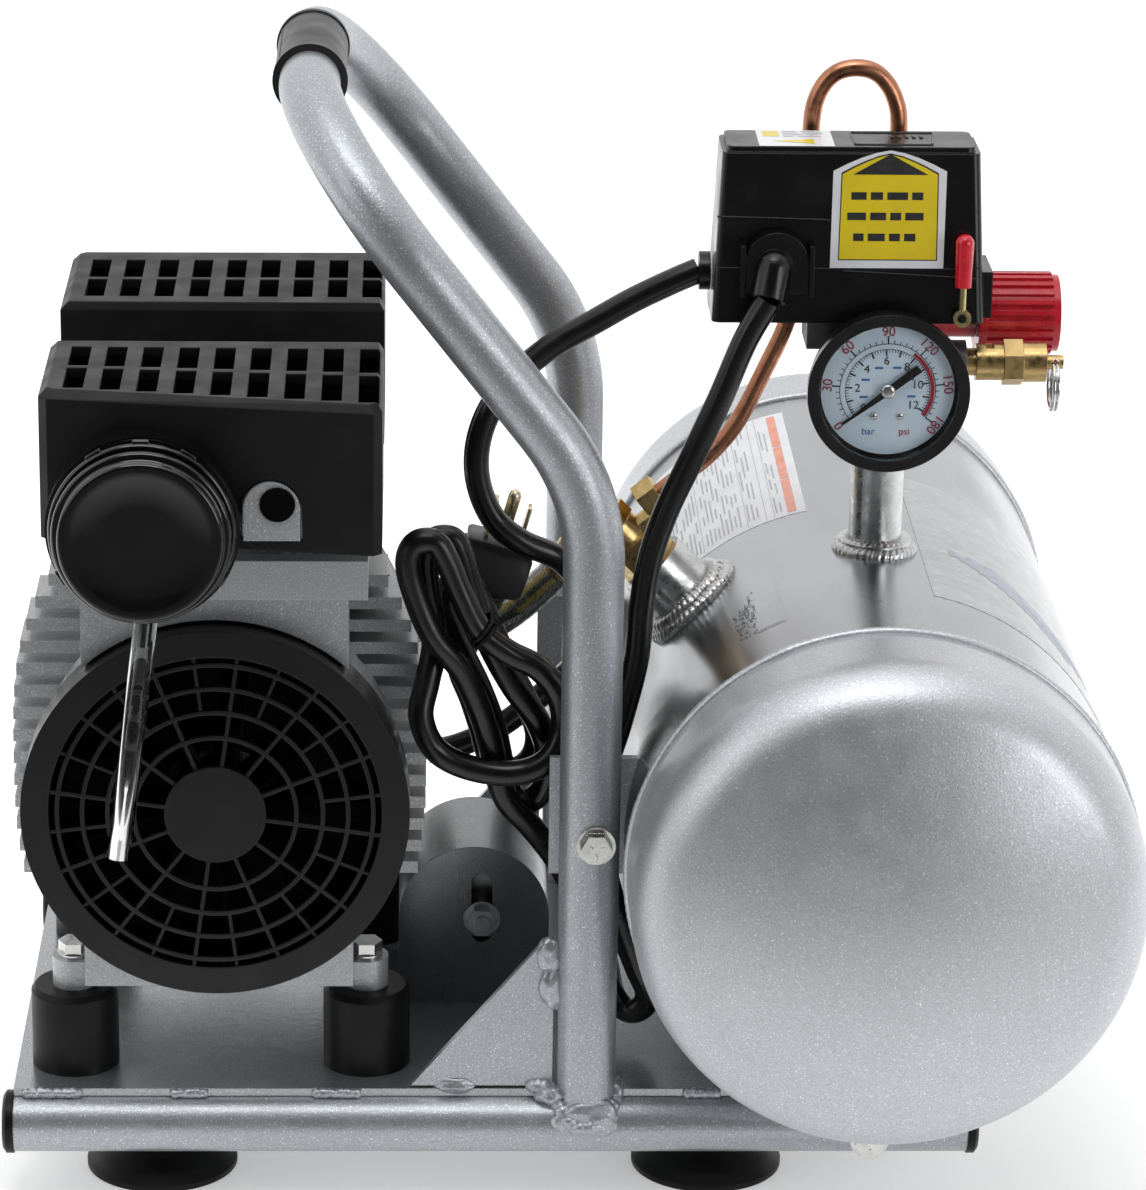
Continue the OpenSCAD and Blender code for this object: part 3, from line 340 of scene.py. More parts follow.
NODE_FINISHES = {
    frame_paint: "base_tubes frame_gussets handle_tube tank_brackets",
    plate_paint: "base_plate",
    tank_paint: "tank_heads",
    barrel_metal: "tank_barrel",
    bung_metal: "tank_bungs",
    cast_paint: "motor_housing end_brackets cylinder_heads",
    cover_paint: "capacitor_cover",
    rubber: "tube_end_plugs suction_feet rubber_mounts",
    grip_rubber: "handle_grip",
    zinc: "flange_bolts flange_nuts",
    steel: "rotor_shaft motor_bearings pistons cylinder_sleeves valve_plates",
    winding: "stator_core",
    fan_plastic: "cooling_fans head_port_plugs",
    guard_plastic: "fan_guards",
    cover_plastic: "front_head_cover rear_head_cover",
    filter_plastic: "filter_body filter_cap",
    foam: "filter_element",
    clear_tube: "intake_tube",
    can_metal: "capacitor",
    grey_metal: "manifold",
    switch_plastic: "switch_base switch_cover cord_glands",
    yellow_zinc: "switch_lever",
    sleeve_red: "lever_sleeve",
    gauge_black: "gauge_case gauge_needle",
    dial_enamel: "gauge_dial",
    lens_glass: "gauge_lens",
    knob_red: "regulator_body regulator_knob drain_valve_lever",
    brass: "safety_valve_body safety_pin air_fittings coupler_sleeve",
    dull_brass: "air_coupler drain_valve_body",
    ring_steel: "safety_ring",
}


def dress_nodes():
    for finish, names in NODE_FINISHES.items():
        for name in names.split():
            slots = nodes[name].material_slots
            if not slots:
                nodes[name].data.materials.append(finish.material)
            for one in slots:
                one.material = finish.material


dress_nodes()

# ---------- mesh helpers ----------


def settle(name, data, body):
    """New object that rides on a body."""
    made = linked(name, data)
    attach(made, body)
    return made


class Shape:
    """Vertices and faces of one piece, gathered from several simple forms."""

    def __init__(self):
        self.points = []
        self.faces = []
        self.kinds = []

    def add(self, points, faces, kind=0):
        first = len(self.points)
        self.points.extend(points)
        self.faces.extend([[first + i for i in face] for face in faces])
        self.kinds.extend([kind] * len(faces))

    def piece(self, name, finishes, slot, body="compressor", smooth=True):
        mesh = bpy.data.meshes.new(name)
        mesh.from_pydata([tuple(p) for p in self.points], [], self.faces)
        for finish in finishes:
            mesh.materials.append(finish.material)
        mesh.polygons.foreach_set("material_index", self.kinds)
        mesh.polygons.foreach_set("use_smooth", [smooth] * len(self.faces))
        mesh.validate()
        mesh.update()
        return settle(name, mesh, body)


def spline(route, steps):
    """Smooth curve through the route's points, as in the CAD source."""
    line = []
    last = len(route) - 1
    for i in range(last):
        a, b, c, d = (Vector(route[max(0, min(last, i + k))]) for k in (-1, 0, 1, 2))
        for s in range(steps):
            t = s / steps
            line.append(0.5 * (2 * b + (c - a) * t + (2 * a - 5 * b + 4 * c - d) * t * t
                               + (3 * b - a - 3 * c + d) * t * t * t))
    line.append(Vector(route[last]))
    return line


def evenly(line, step):
    """Points a fixed distance apart along a line."""
    out = [line[0].copy()]
    left = step
    for a, b in zip(line, line[1:]):
        long = (b - a).length
        along = 0.0
        while long - along >= left:
            along += left
            out.append(a.lerp(b, along / long))
            left = step
        left -= long - along
    out.append(line[-1].copy())
    return out


def skin_faces(rings, count):
    """Faces over rings of count points, closed at both ends."""
    faces = []
    for i in range(rings - 1):
        for k in range(count):
            n = (k + 1) % count
            faces.append([i * count + k, i * count + n, (i + 1) * count + n, (i + 1) * count + k])
    faces.append(list(range(count - 1, -1, -1)))
    faces.append([(rings - 1) * count + k for k in range(count)])
    return faces


def loop_faces(rings, count, way=1):
    """Faces over rings of count points, from the last ring on to the first."""
    faces = []
    for i in range(rings):
        for k in range(count):
            n, low, high = (k + 1) % count, i * count, (i + 1) % rings * count
            faces.append([low + k, high + k, high + n, low + n][::way])
    return faces


def path_of(route, step):
    """Points of a route given in mm, a fixed number of mm apart along its smooth curve."""
    return evenly([at(*p) for p in spline(route, 8)], step * MM)


def sweep(line, radius, sides):
    """Tube along a line. radius is a function of (length along, angle round)."""
    points = []
    across = (line[1] - line[0]).orthogonal().normalized()
    along = 0.0
    for i, p in enumerate(line):
        way = (line[min(i + 1, len(line) - 1)] - line[max(i - 1, 0)]).normalized()
        across = (across - across.dot(way) * way).normalized()
        side = way.cross(across)
        if i:
            along += (p - line[i - 1]).length
        for a in angles_round(sides):
            points.append(p + radius(along, a) * (cos(a) * across + sin(a) * side))
    return points, skin_faces(len(line), sides)


def wire(radius):
    """Radius in mm of a plain round wire, in the form that sweep takes."""
    return lambda along, angle: radius * MM


def curve_cord(name, route):
    """Round rubber cord as one Bezier spline through the route's points."""
    data = bpy.data.curves.new(name, "CURVE")
    data.dimensions = "3D"
    data.bevel_depth = CORD_DIAMETER / 2 * MM
    data.bevel_resolution = 8
    data.resolution_u = 8
    data.use_fill_caps = True
    points = [at(*p) for p in route]
    line = data.splines.new("BEZIER")
    line.bezier_points.add(len(points) - 1)
    for i, (knot, p) in enumerate(zip(line.bezier_points, points)):
        lean = (points[min(i + 1, len(points) - 1)] - points[max(i - 1, 0)]) / 6
        knot.co = p
        knot.handle_left = p - lean
        knot.handle_right = p + lean
    data.materials.append(cord_rubber.material)
    return settle(name, data, "compressor")


# ---------- cords ----------

CORD_DIAMETER = 9.4
HOSE_DIAMETER = 13
COPPER_DIAMETER = 6.35
PLUG_BASE = (-6, -31, 199)
PLUG_LEAN = radians(16)
PIN_REACH = 6.35
BRAID_STRANDS = 24
BRAID_PITCH = 13 * MM
TRACER_PITCH = 2.6 * MM
TRACER_ANGLES = (65, 105, 245, 285)

# from the gland on the switch, down behind the handle leg and up into the hank
FEED_ROUTE = [
    (96.5, -64.5, 331), (88.5, -65, 316.5), (80, -65.5, 295), (70, -66, 272), (61.6, -66.5, 253),
    (56, -67, 235), (53.2, -67.5, 216), (51.6, -68, 196), (46, -69, 172), (39, -70, 146),
    (40, -70, 122), (46, -70, 98), (54, -70, 76), (58.3, -68.5, 65), (56.5, -66, 57.5),
    (51, -62.5, 55), (45.5, -60, 61), (42, -59, 76), (33, -62, 98), (24, -66, 117), (14, -70, 132),
]
# the turns of the hank, from the front to the back
HANK_ROUTE = [
    (5.5, -72.5, 142.4), (1.3, -73.5, 153.4), (-1.4, -74, 166.4), (-5.9, -76, 181.5),
    (-12.6, -80, 197.3), (-22, -82.5, 209.6), (-28.2, -82.5, 224), (-31.5, -82.5, 237.5),
    (-28.8, -82.5, 245.3), (-22, -82.5, 246), (-17.5, -82.5, 239), (-12.5, -82.5, 226.7),
    (-5.5, -82.5, 212.7), (4.6, -82.5, 204.3), (15.6, -81, 197.7), (23, -79, 187.4),
    (25, -80, 174.2), (19.6, -82.5, 162.7), (7.7, -82.5, 157.6), (-8.7, -82.5, 159.6),
    (-21.1, -82.5, 166.5), (-26.6, -82, 178.9), (-24.5, -77.5, 190.5), (-22, -73.5, 202),
    (-22.6, -72.5, 214.2), (-24.6, -72.5, 226.3), (-25, -72.5, 237), (-21.8, -72.5, 243.6),
    (-15.4, -72.5, 243.6), (-12, -72.5, 236.5), (-8.2, -72.5, 223), (-2.4, -72.5, 205.4),
    (6.4, -72.5, 188.4), (16.1, -71, 173.2), (20.9, -66, 155.6), (18.6, -63, 144),
    (12.6, -62, 138.4), (6.6, -62, 142), (3.3, -62.5, 153.1), (0.2, -62.5, 167.6),
    (-5, -62.5, 182.4), (-11, -61, 195), (-15.5, -58, 205), (-18, -54.5, 213.5),
    (-15.5, -53, 220.5), (-9, -52.5, 220.5), (-4.5, -53, 212), (0, -53, 201), (6, -53, 187),
    (13, -53, 173), (16.5, -53, 161), (14, -53, 151.5), (6.5, -53, 147.5), (-0.8, -53, 152.5),
    (-4.2, -53, 164), (-8, -53, 176),
]
# out of the hank and into the neck of the plug
TAIL_ROUTE = [
    (-11.5, -51, 184), (-12.8, -44.5, 188), (-10.8, -37.5, 189), (-8.2, -32.5, 192.5), PLUG_BASE,
]
POWER_ROUTE = FEED_ROUTE + HANK_ROUTE + TAIL_ROUTE
# from the left gland of the switch to the hole in the capacitor cover
LEAD_ROUTE = [
    (73, -36.5, 334.5), (64, -36.5, 330.5), (50, -36.5, 323.5), (37, -37, 316), (19, -38.5, 305.5),
    (3.5, -42, 292), (-5, -45.5, 277), (-6.6, -47.5, 260.5), (-1, -48, 244.5), (9.5, -48, 235),
    (24, -44.5, 227), (33, -37, 213), (36, -24, 195), (34, -8, 176), (22, 5, 158), (4, 8, 142),
    (-12, 8, 134), (-23.7, 8, 131.5),
]
HOSE_ROUTE = [
    (-59, -17.5, 254.3), (-54, -17.5, 249), (-50.5, -17.5, 240), (-49, -17.5, 222), (-46, -17, 205),
    (-38, -15, 193), (-26, -12, 187), (-12, -8, 185.5), (0, -5.5, 188.5), (10.6, -5.5, 196),
    (23.7, -7, 209), (32, -10, 220), (39.5, -13, 230.5),
]
COPPER_ROUTE = [
    (146, -12.5, 343), (146, -12.5, 362), (146, -12.5, 383), (144.8, -12.5, 391),
    (141.4, -12.5, 398), (136.4, -12.5, 402.6), (130, -12.5, 404), (123.6, -12.5, 402.6),
    (118.4, -12.5, 398), (115, -12.5, 390), (114, -12.5, 378), (113.2, -12.5, 352),
    (111.2, -12.5, 325), (106.8, -12.8, 307), (99, -13, 289), (89.8, -13.3, 270),
    (79.6, -13.6, 257.2), (69.4, -14, 249.3), (61, -14.4, 242.8),
]


def route_length(route):
    """Length in metres of the smooth curve through a route."""
    line = [at(*p) for p in spline(route, 6)]
    return sum((b - a).length for a, b in zip(line, line[1:]))


def plug_place(x, y, z):
    """A point of the plug, in mm from its base with z along the plug, in the row frame."""
    turned = Matrix.Rotation(PLUG_LEAN, 3, "Y") @ Vector((x, y, z))
    return at(*(Vector(PLUG_BASE) + turned))


def rounded_section(half_x, half_y, power, count):
    """Outline between an ellipse and a rectangle, by the power of a superellipse."""
    out = []
    for a in angles_round(count):
        c, s = polar(1, a)
        out.append((
            half_x * copysign(abs(c) ** (2 / power), c),
            half_y * copysign(abs(s) ** (2 / power), s),
        ))
    return out


def loft(shape, sections, place, count=40):
    """Skin over sections (half_x, half_y, z, power), closed at both ends."""
    points = []
    for half_x, half_y, z, power in sections:
        points.extend(place(x, y, z) for x, y in rounded_section(half_x, half_y, power, count))
    shape.add(points, skin_faces(len(sections), count))


def slab(shape, low, high, place, bevel=0.3, kind=0):
    """Box with bevelled edges between two corners, in mm."""
    box = bmesh.new()
    bmesh.ops.create_cube(box, size=1)
    low, high = Vector(low), Vector(high)
    for v in box.verts:
        v.co = Vector([low[i] + (v.co[i] + 0.5) * (high[i] - low[i]) for i in range(3)])
    if bevel:
        edges = box.edges[:]
        bmesh.ops.bevel(box, geom=edges, offset=bevel, segments=2, profile=0.5, affect="EDGES")
    box.verts.ensure_lookup_table()
    points = [place(*v.co) for v in box.verts]
    shape.add(points, [[v.index for v in f.verts] for f in box.faces], kind)
    box.free()


def make_plug():
    """Moulded plug with a ribbed neck, bevelled body, raised face plate and three pins."""
    body = Shape()
    neck = [(4.9, 4.9, -4, 2), (5.6, 5.6, 0, 2)]
    for i in range(4):
        low = 1.5 + i * 2.8
        neck += [(6.8 + i * 0.35, 6.4, low, 2.2), (6.8 + i * 0.35, 6.4, low + 1.5, 2.2)]
        neck += [(5.9 + i * 0.35, 5.7, low + 1.8, 2.2), (5.9 + i * 0.35, 5.7, low + 2.5, 2.2)]
    sections = neck + [
        (9, 7.8, 12.5, 4), (11.6, 8.8, 13.4, 7), (12.7, 9.2, 15, 9), (13, 9.4, 19, 9),
        (13, 9.4, 28.5, 9), (12.2, 8.8, 29.2, 9), (12.2, 8.8, 30.2, 9), (12.6, 9.1, 30.8, 9),
        (12.6, 9.1, 32, 9), (12.0, 8.5, 32.6, 9),
    ]
    loft(body, sections, plug_place)
    plug = body.piece("mains_plug", [plug_vinyl], "mains_plug")
    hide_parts("power_plug")
    pins = Shape()
    for x in (-PIN_REACH, PIN_REACH):
        slab(pins, (x - 0.75, -6.2, 32), (x + 0.75, 0.2, 48.5), plug_place)
    earth = [(2.4, 2.4, 32, 2), (2.4, 2.4, 50, 2), (1.9, 1.9, 51.5, 2), (0.8, 0.8, 52.2, 2)]
    loft(pins, earth, plug_place, 20)
    blades = pins.piece("plug_blades", [blade_brass], "mains_plug")
    return plug, blades


def make_tie():
    """Twisted wire tie round the front strands of the hank."""
    shape = Shape()
    centre = Vector((-4.2, -77.5, 211.5))
    along = Vector((0.72, 0, -0.69))
    across = Vector((0.69, 0, 0.72))
    inward = Vector((0, 1, 0))
    ring = []
    for k in range(49):
        a = TURN * k / 48
        reach = Vector((5.4 * cos(a), 5.4 * sin(a), 0))
        deep = reach.y + copysign(5.0, reach.y) * min(1, abs(sin(a)) * 4)
        ring.append(centre + across * reach.x + inward * deep)
    for shift in (-1.1, 0.9):
        line = [at(*(p + along * shift)) for p in ring]
        shape.add(*sweep(line, wire(0.8), 10))
    for phase in (0, pi):
        twist = []
        for k in range(40):
            t = k / 39
            a = phase + t * 3 * TURN
            reach = across * (5.5 + 9 * t) + along * (2.5 * t + 0.8 * cos(a))
            reach = reach + inward * (-6 + 0.8 * sin(a))
            twist.append(at(*(centre + reach)))
        shape.add(*sweep(twist, wire(0.7), 8))
    return shape.piece("hank_tie", [rubber], "cord_rubber")


def braid_relief(along, angle, radius):
    """Radius of the hose in metres at a point of its braid, where wires pass over and under."""
    a = sin(BRAID_STRANDS / 2 * angle + TURN * along / BRAID_PITCH * 1.5)
    b = sin(BRAID_STRANDS / 2 * angle - TURN * along / BRAID_PITCH * 1.5)
    over = 0.75 + 0.25 * copysign(1, a * b)
    return radius * (0.975 + 0.025 * max(abs(a), abs(b)) ** 0.7 * over)


def make_hose():
    """Braided hose with yellow tracers along it, and a crimped ferrule at each end."""
    radius = HOSE_DIAMETER / 2 * MM
    wires, tracers, shaded_gaps = 0, 1, 2
    sides = 96
    step = 0.45
    line = path_of(HOSE_ROUTE, step)
    shape = Shape()
    shape.add(*sweep(line, lambda t, a: braid_relief(t, a, radius), sides))
    kinds = []
    for i in range(len(line) - 1):
        for k in range(sides):
            angle = TURN * k / sides
            lean = sin(BRAID_STRANDS * angle + TURN * i * step * MM / TRACER_PITCH)
            tracer = any(abs(angle - radians(a)) < radians(9) for a in TRACER_ANGLES)
            # painted shade: faces between the braid's wires take a darker metal
            kinds.append(tracers if tracer and lean > -0.5 else wires if lean > -0.8 else shaded_gaps)
    shape.kinds = kinds + [wires, wires]
    hose = shape.piece("braided_hose", [hose_steel, yarn_yellow, grey_metal], "braided_hose")
    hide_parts("air_hose")
    at(*HOSE_ROUTE[0])
    round(route_length(HOSE_ROUTE), 3)

    def crimped(along, angle):
        return radius + (0.9 - 0.35 * (sin(along / MM * 1.6) > 0.55)) * MM

    ends = Shape()
    whole = spline(HOSE_ROUTE, 8)
    for part in (whole[:15], whole[-16:]):
        ends.add(*sweep(evenly([at(*p) for p in part], 0.6 * MM), crimped, 48))
    ends.piece("hose_ferrules", [brass], "brass")


def make_copper_tube():
    """Bent copper line, a little uneven along its length."""
    def uneven(along, angle):
        return COPPER_DIAMETER / 2 * MM * (1 + 0.012 * sin(along / MM * 0.21))

    shape = Shape()
    shape.add(*sweep(path_of(COPPER_ROUTE, 1.5), uneven, 32))
    tube = shape.piece("copper_unloader_tube", [copper], "copper")
    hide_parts("unloader_tube")


def make_intake_tube():
    """Clear plastic tube with a real wall, cut square at both ends."""
    top = Vector((-123, -122.3, 230.8))
    way = Vector((-10.9, -4.7, -88.3))
    along = way.normalized()
    side = along.orthogonal().normalized()
    other = along.cross(side)
    sides = 48
    rims = []
    bore, outside = 3.05, 4.2
    for reach, radius in ((0, bore), (0, outside), (1, outside), (1, bore)):
        centre = top + way * reach
        for a in angles_round(sides):
            rims.append(at(*(centre + radius * (cos(a) * side + sin(a) * other))))
    shape = Shape()
    shape.add(rims, loop_faces(4, sides))
    tube = shape.piece("clear_intake_tube", [clear_tube], "clear_tube")
    # the cut ends, which face along Z, stay flat while the walls are smooth
    walls = [abs(p.normal.z) <= 0.7 for p in tube.data.polygons]
    tube.data.polygons.foreach_set("use_smooth", walls)
    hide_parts("intake_tube")


def make_cords():
    power = curve_cord("power_cord_full", POWER_ROUTE)
    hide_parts("power_cord", "power_cord_hank")
    plug, blades = make_plug()
    tie = make_tie()
    at(*FEED_ROUTE[0])
    round(route_length(POWER_ROUTE), 2)
    lead = curve_cord("motor_lead_cord", LEAD_ROUTE)
    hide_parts("motor_lead")
    at(*LEAD_ROUTE[0])
    round(route_length(LEAD_ROUTE), 2)
    make_hose()
    make_copper_tube()
    make_intake_tube()


make_cords()

# ---------- welds ----------

TUBE_R = 11
FRONT_Y = -102.5            # axis of the front base tube
TUBE_Z = 28
DECK_Z = 42                 # top of the base plate
PLATE_EDGE_Y = -104.5
HANDLE_X = 34.3             # axis of the handle's legs
LEG_EDGE_X = HANDLE_X - TUBE_R - 0.1
TANK_X = 138.5
TANK_Z = 136.6
TANK_R = 91
HEAD_SEAMS = ((-124.8, -1), (164.2, 1))     # place along Y, and the way the head points


def bead(shape, route, size, seed, pitch, height):
    """Weld bead along a route in mm: overlapping ripples with a little unevenness."""
    step = 0.35
    line = evenly(spline(route, 6), step)
    total = len(line) * step

    def radius(along, angle):
        ripple = abs(sin(pi * along / pitch + 0.4 * cos(angle)))
        ends = min(1, (along + 0.6) / size, (total - along + 0.6) / size) ** 0.5
        rough = noise.noise(Vector((along * 0.35, cos(angle), sin(angle) + seed)))
        return size * max(0.15, ends) * (0.86 + 0.16 * ripple + 0.22 * rough * height)

    points, faces = sweep(line, radius, 20)
    shape.add([at(*p) for p in points], faces)


def blob(shape, centre, size, seed):
    """Lumpy drop of weld metal, with half sizes in mm."""
    ball = bmesh.new()
    bmesh.ops.create_icosphere(ball, subdivisions=4, radius=1)
    for v in ball.verts:
        coarse = noise.noise(v.co * 1.3 + Vector((seed, 0, 0)))
        fine = noise.noise(v.co * 4 + Vector((0, seed, 0)))
        lump = 1 + 0.28 * coarse + 0.1 * fine
        v.co = Vector([v.co[i] * size[i] * lump + centre[i] for i in range(3)])
    shape.add([at(*v.co) for v in ball.verts], [[v.index for v in f.verts] for f in ball.faces])
    ball.free()


def saddle_z(y):
    """Height of the base tube's top surface at y, from the front tube's axis."""
    return TUBE_Z + sqrt(max(0, TUBE_R ** 2 - (y - FRONT_Y) ** 2))


def frame_welds():
    """Beads and drops at both legs of the handle, its gussets and the edge of the plate."""
    shape = Shape()
    foot = []
    for k in range(-16, 3):
        u, v = polar(TUBE_R + 0.6, radians(k * 11.25 + 5))
        x, y = HANDLE_X + u, FRONT_Y + v
        z = DECK_Z if y > PLATE_EDGE_Y else saddle_z(max(y, FRONT_Y - TUBE_R + 0.4))
        foot.append((x, y, z))
    plate_tacks = [(-172, -150), (-66, -48), (70, 84), (-118, -104)]
    gusset_y = FRONT_Y - 1.6
    for side in (1, -1):
        def run(points, size, seed, pitch, height=1.0, side=side):
            route = [(x, side * y, z) for x, y, z in points]
            bead(shape, route, size, seed + side, pitch, height)

        def drop(x, y, z, size, seed, side=side):
            blob(shape, (x, side * y, z), size, seed + side)

        run(foot[1:11], 3.1, 3, 4.2, 0.6)
        run(foot[12:19], 2.7, 9, 3.6, 0.6)
        drop(HANDLE_X - 13, FRONT_Y - 4, DECK_Z - 1, (5.5, 5, 4), 1)
        drop(HANDLE_X + 1, FRONT_Y - TUBE_R + 2.2, TUBE_Z + 5, (12.5, 4.2, 7.5), 4)
        run([(LEG_EDGE_X - x, gusset_y, DECK_Z + 1) for x in (11, 8, 5, 2)], 3.0, 12, 3.2)
        drop(LEG_EDGE_X - 37, gusset_y + 0.6, DECK_Z + 1, (8.2, 2.6, 3), 11)
        drop(LEG_EDGE_X - 1.6, gusset_y, DECK_Z + 40, (4.6, 3.2, 8.5), 15)
        drop(LEG_EDGE_X - 2.6, gusset_y + 0.3, DECK_Z + 53, (4.6, 2.8, 7), 16)
        for n, (x0, x1) in enumerate(plate_tacks):
            xs = [x0 + (x1 - x0) * k / 5 for k in range(6)]
            run([(x, PLATE_EDGE_Y - 0.4, DECK_Z - 1.6) for x in xs], 1.9, 20 + n, 3.0)
    shape.piece("frame_welds", [frame_paint], "frame_powder")


def barrel_z(x):
    """Height of the tank barrel's top surface at x."""
    return TANK_Z + sqrt(TANK_R ** 2 - (x - TANK_X) ** 2)


def port_weld(shape, seed, rows, place):
    """Collar of stacked ripples round a welded port.

    rows hold (radius, height, size), and place(radius, angle, height) gives a point in mm.
    """
    for row, (radius, height, size) in enumerate(rows):
        ring = [Vector(place(radius, TURN * k / 60, height)) for k in range(61)]
        line = evenly(ring, 0.3)

        def thick(along, angle, size=size, row=row):
            ripple = abs(sin(pi * along / 2.3 + 0.9 * sin(angle) + row)) ** 0.6
            rough = noise.noise(Vector((along * 0.18, cos(angle), seed + row + sin(angle))))
            return size * (0.84 + 0.16 * ripple + 0.18 * rough)

        points, faces = sweep(line, thick, 18)
        shape.add([at(*p) for p in points], faces)


def tank_welds():
    """Collars round the riser pipe and round the inlet bung, which leans 45 degrees."""
    shape = Shape()
    riser_x, riser_y = 141, -29.5

    def round_riser(radius, angle, height):
        u, v = polar(radius, angle)
        return riser_x + u, riser_y + v, barrel_z(riser_x + u) + height

    port_weld(shape, 2, [(12.9, 0.2, 2.9), (11.2, 2.2, 2.3)], round_riser)
    lean = radians(45)
    axis = Vector((-sin(lean), 0, cos(lean)))
    side = Vector((cos(lean), 0, sin(lean)))
    centre = Vector((TANK_X, -14.5, TANK_Z))

    def round_bung(radius, angle, height):
        u, v = polar(radius, angle)
        drop = sqrt(TANK_R ** 2 - u ** 2)
        return centre + side * u + Vector((0, v, 0)) + axis * (drop + height)

    port_weld(shape, 5, [(17.6, 0.4, 3.2), (15.2, 3.0, 3.4)], round_bung)
    shape.piece("tank_welds", [weld_metal], "bung_metal")


def revolve(shape, profile, place, count=144):
    """Skin turned from (radius, along) points. place(u, v, along) gives a point."""
    points = []
    for radius, along in profile:
        points.extend(place(*polar(radius, a), along) for a in angles_round(count))
    shape.add(points, skin_faces(len(profile), count))


def dished_profile():
    """Straight skirt, knuckle arc and crown arc of a tank head, from the seam outwards."""
    skirt, knuckle, crown, radius = 28, 24, 215, TANK_R + 0.5
    rise = sqrt((crown - knuckle) ** 2 - (radius - knuckle) ** 2)
    turn = atan2(radius - knuckle, rise)
    profile = [(radius, 0), (radius, 8), (radius, 20)]
    for i in range(25):
        a = i / 24 * (pi / 2 - turn)
        profile.append((radius - knuckle + knuckle * cos(a), skirt + knuckle * sin(a)))
    for i in range(1, 32):
        a = turn * (1 - i / 32)
        profile.append((crown * sin(a), skirt - rise + crown * cos(a)))
    return profile


def make_heads():
    """Both dished heads, with the rippled weld over each seam."""
    shape = Shape()
    for seam, way in HEAD_SEAMS:
        def place(u, v, along, seam=seam, way=way):
            return at(TANK_X + u, seam + way * along, TANK_Z + way * v)

        revolve(shape, dished_profile(), place)
        ring = [place(*polar(TANK_R + 0.1, TURN * k / 720), 0.6) for k in range(721)]

        def thick(along, angle):
            ripple = abs(sin(pi * along / (3.1 * MM) + 0.8 * cos(angle)))
            wander = noise.noise(Vector((along * 60, 2.0, 3.0)))
            return (1.75 + 0.18 * ripple + 0.35 * wander) * MM

        shape.add(*sweep(ring, thick, 14))
    heads = shape.piece("dished_tank_heads", [tank_paint], "tank_powder")
    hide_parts("tank_heads")


PUMP_X = -100
PUMP_Y = -17.5
SHAFT_Z = 153


def make_baffles():
    """Black ring between each fan and its end bracket, painted shade where the bracket lies in shadow.
    """
    shape = Shape()
    rings = [(66.5, 75.1), (66.5, 75.6), (19.5, 75.6), (19.5, 75.1)]
    count = 96
    for way in (-1, 1):
        points = []
        for radius, along in rings:
            for u, w in (polar(radius, a) for a in angles_round(count)):
                points.append(at(PUMP_X + u, PUMP_Y + way * along, SHAFT_Z + w))
        shape.add(points, loop_faces(len(rings), count, way))
    # painted shade: the black rings darken the end brackets behind the fans
    shape.piece("fan_painted_shade_rings", [fan_plastic], "guard_plastic", smooth=False)


FILTER_X = -123.5
FILTER_Z = 265


def rounded_steps(steps, fillet):
    """Stepped profile from (radius, low, high) rows, each with a rounded front corner."""
    profile = []
    for radius, low, high in steps:
        profile.append((radius, low))
        for i in range(7):
            a = i / 6 * pi / 2
            profile.append((radius - fillet * (1 - cos(a)), high - fillet * (1 - sin(a))))
    return profile


def make_filter_cap():
    """Glossy stepped cap of the intake filter."""
    def place(u, v, along):
        return at(FILTER_X + u, -along, FILTER_Z + v)

    shape = Shape()
    steps = [(30.3, 123.5, 128), (32.6, 128, 133.2), (31.2, 133, 138.4), (28.8, 138, 143.5)]
    profile = rounded_steps(steps, 1.5) + [(24, 143.5), (23.4, 143.2), (12, 143.2), (1, 143.2)]
    revolve(shape, profile, place)
    cap = shape.piece("moulded_filter_cap", [filter_plastic], "filter_plastic")
    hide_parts("filter_cap")


frame_welds()
tank_welds()
make_heads()
make_baffles()
make_filter_cap()

# ---------- labels ----------

LAYER = 0.07        # rise of one printed layer over the last, in mm
FIRST_LAYER = 0.08
FLAT = 50           # strip width in mm for a flat surface, which needs no cutting


def barrel_place(angle, along, lift):
    """Point on the tank barrel: angle in degrees from +X, along Y in mm."""
    u, w = polar(TANK_R + lift, radians(angle))
    return at(TANK_X + u, along, TANK_Z + w)


def patch(shape, place, u0, u1, v0, v1, layer, kind, step=2.0):
    """Rectangle u0..u1, v0..v1 on a surface, cut into strips so that it follows it."""
    parts = max(1, ceil(abs(u1 - u0) / step))
    lift = FIRST_LAYER + layer * LAYER
    points, faces = [], []
    for i in range(parts + 1):
        u = u0 + (u1 - u0) * i / parts
        points += [place(u, v0, lift), place(u, v1, lift)]
    for i in range(parts):
        faces.append([2 * i, 2 * i + 1, 2 * i + 3, 2 * i + 2])
    shape.add(points, faces, kind)


def outline_patch(shape, place, outline, layer, kind):
    """Flat printed area given by its outline."""
    lift = FIRST_LAYER + layer * LAYER
    shape.add([place(u, v, lift) for u, v in outline], [list(range(len(outline)))], kind)


def barrel_label():
    """White paper label with an orange edge and plain bars in place of its print."""
    pick = random.Random(4)
    shape = Shape()
    white, orange, grey = 0, 1, 2
    y0, y1 = 18, 147
    rules = (109.6, 111.6, 116.4, 128.6)
    patch(shape, barrel_place, 102, 146, y0, y1, 0, white)
    third = (y1 - y0 - 8) / 3
    for n in range(3):
        low = y0 + 3 + n * (third + 1)
        patch(shape, barrel_place, 104.2, 106.4, low, low + third, 1, orange)
    for u in rules:
        patch(shape, barrel_place, u, u + 0.16, y0 + 2, y1 - 2, 1, grey)
    u = 107.6
    while u < 144:
        if not any(abs(u - line) < 0.7 for line in rules):
            v = y0 + 5 + pick.random() * 4
            while v < y1 - 12:
                run = 10 + 18 * pick.random()
                patch(shape, barrel_place, u, u + 0.42, v, min(v + run, y1 - 4), 1, grey)
                v += run + 6 + 12 * pick.random()
        u += 1.15
    finishes = [label_white, label_orange, print_grey]
    shape.piece("barrel_label", finishes, "tank_metal", smooth=False)


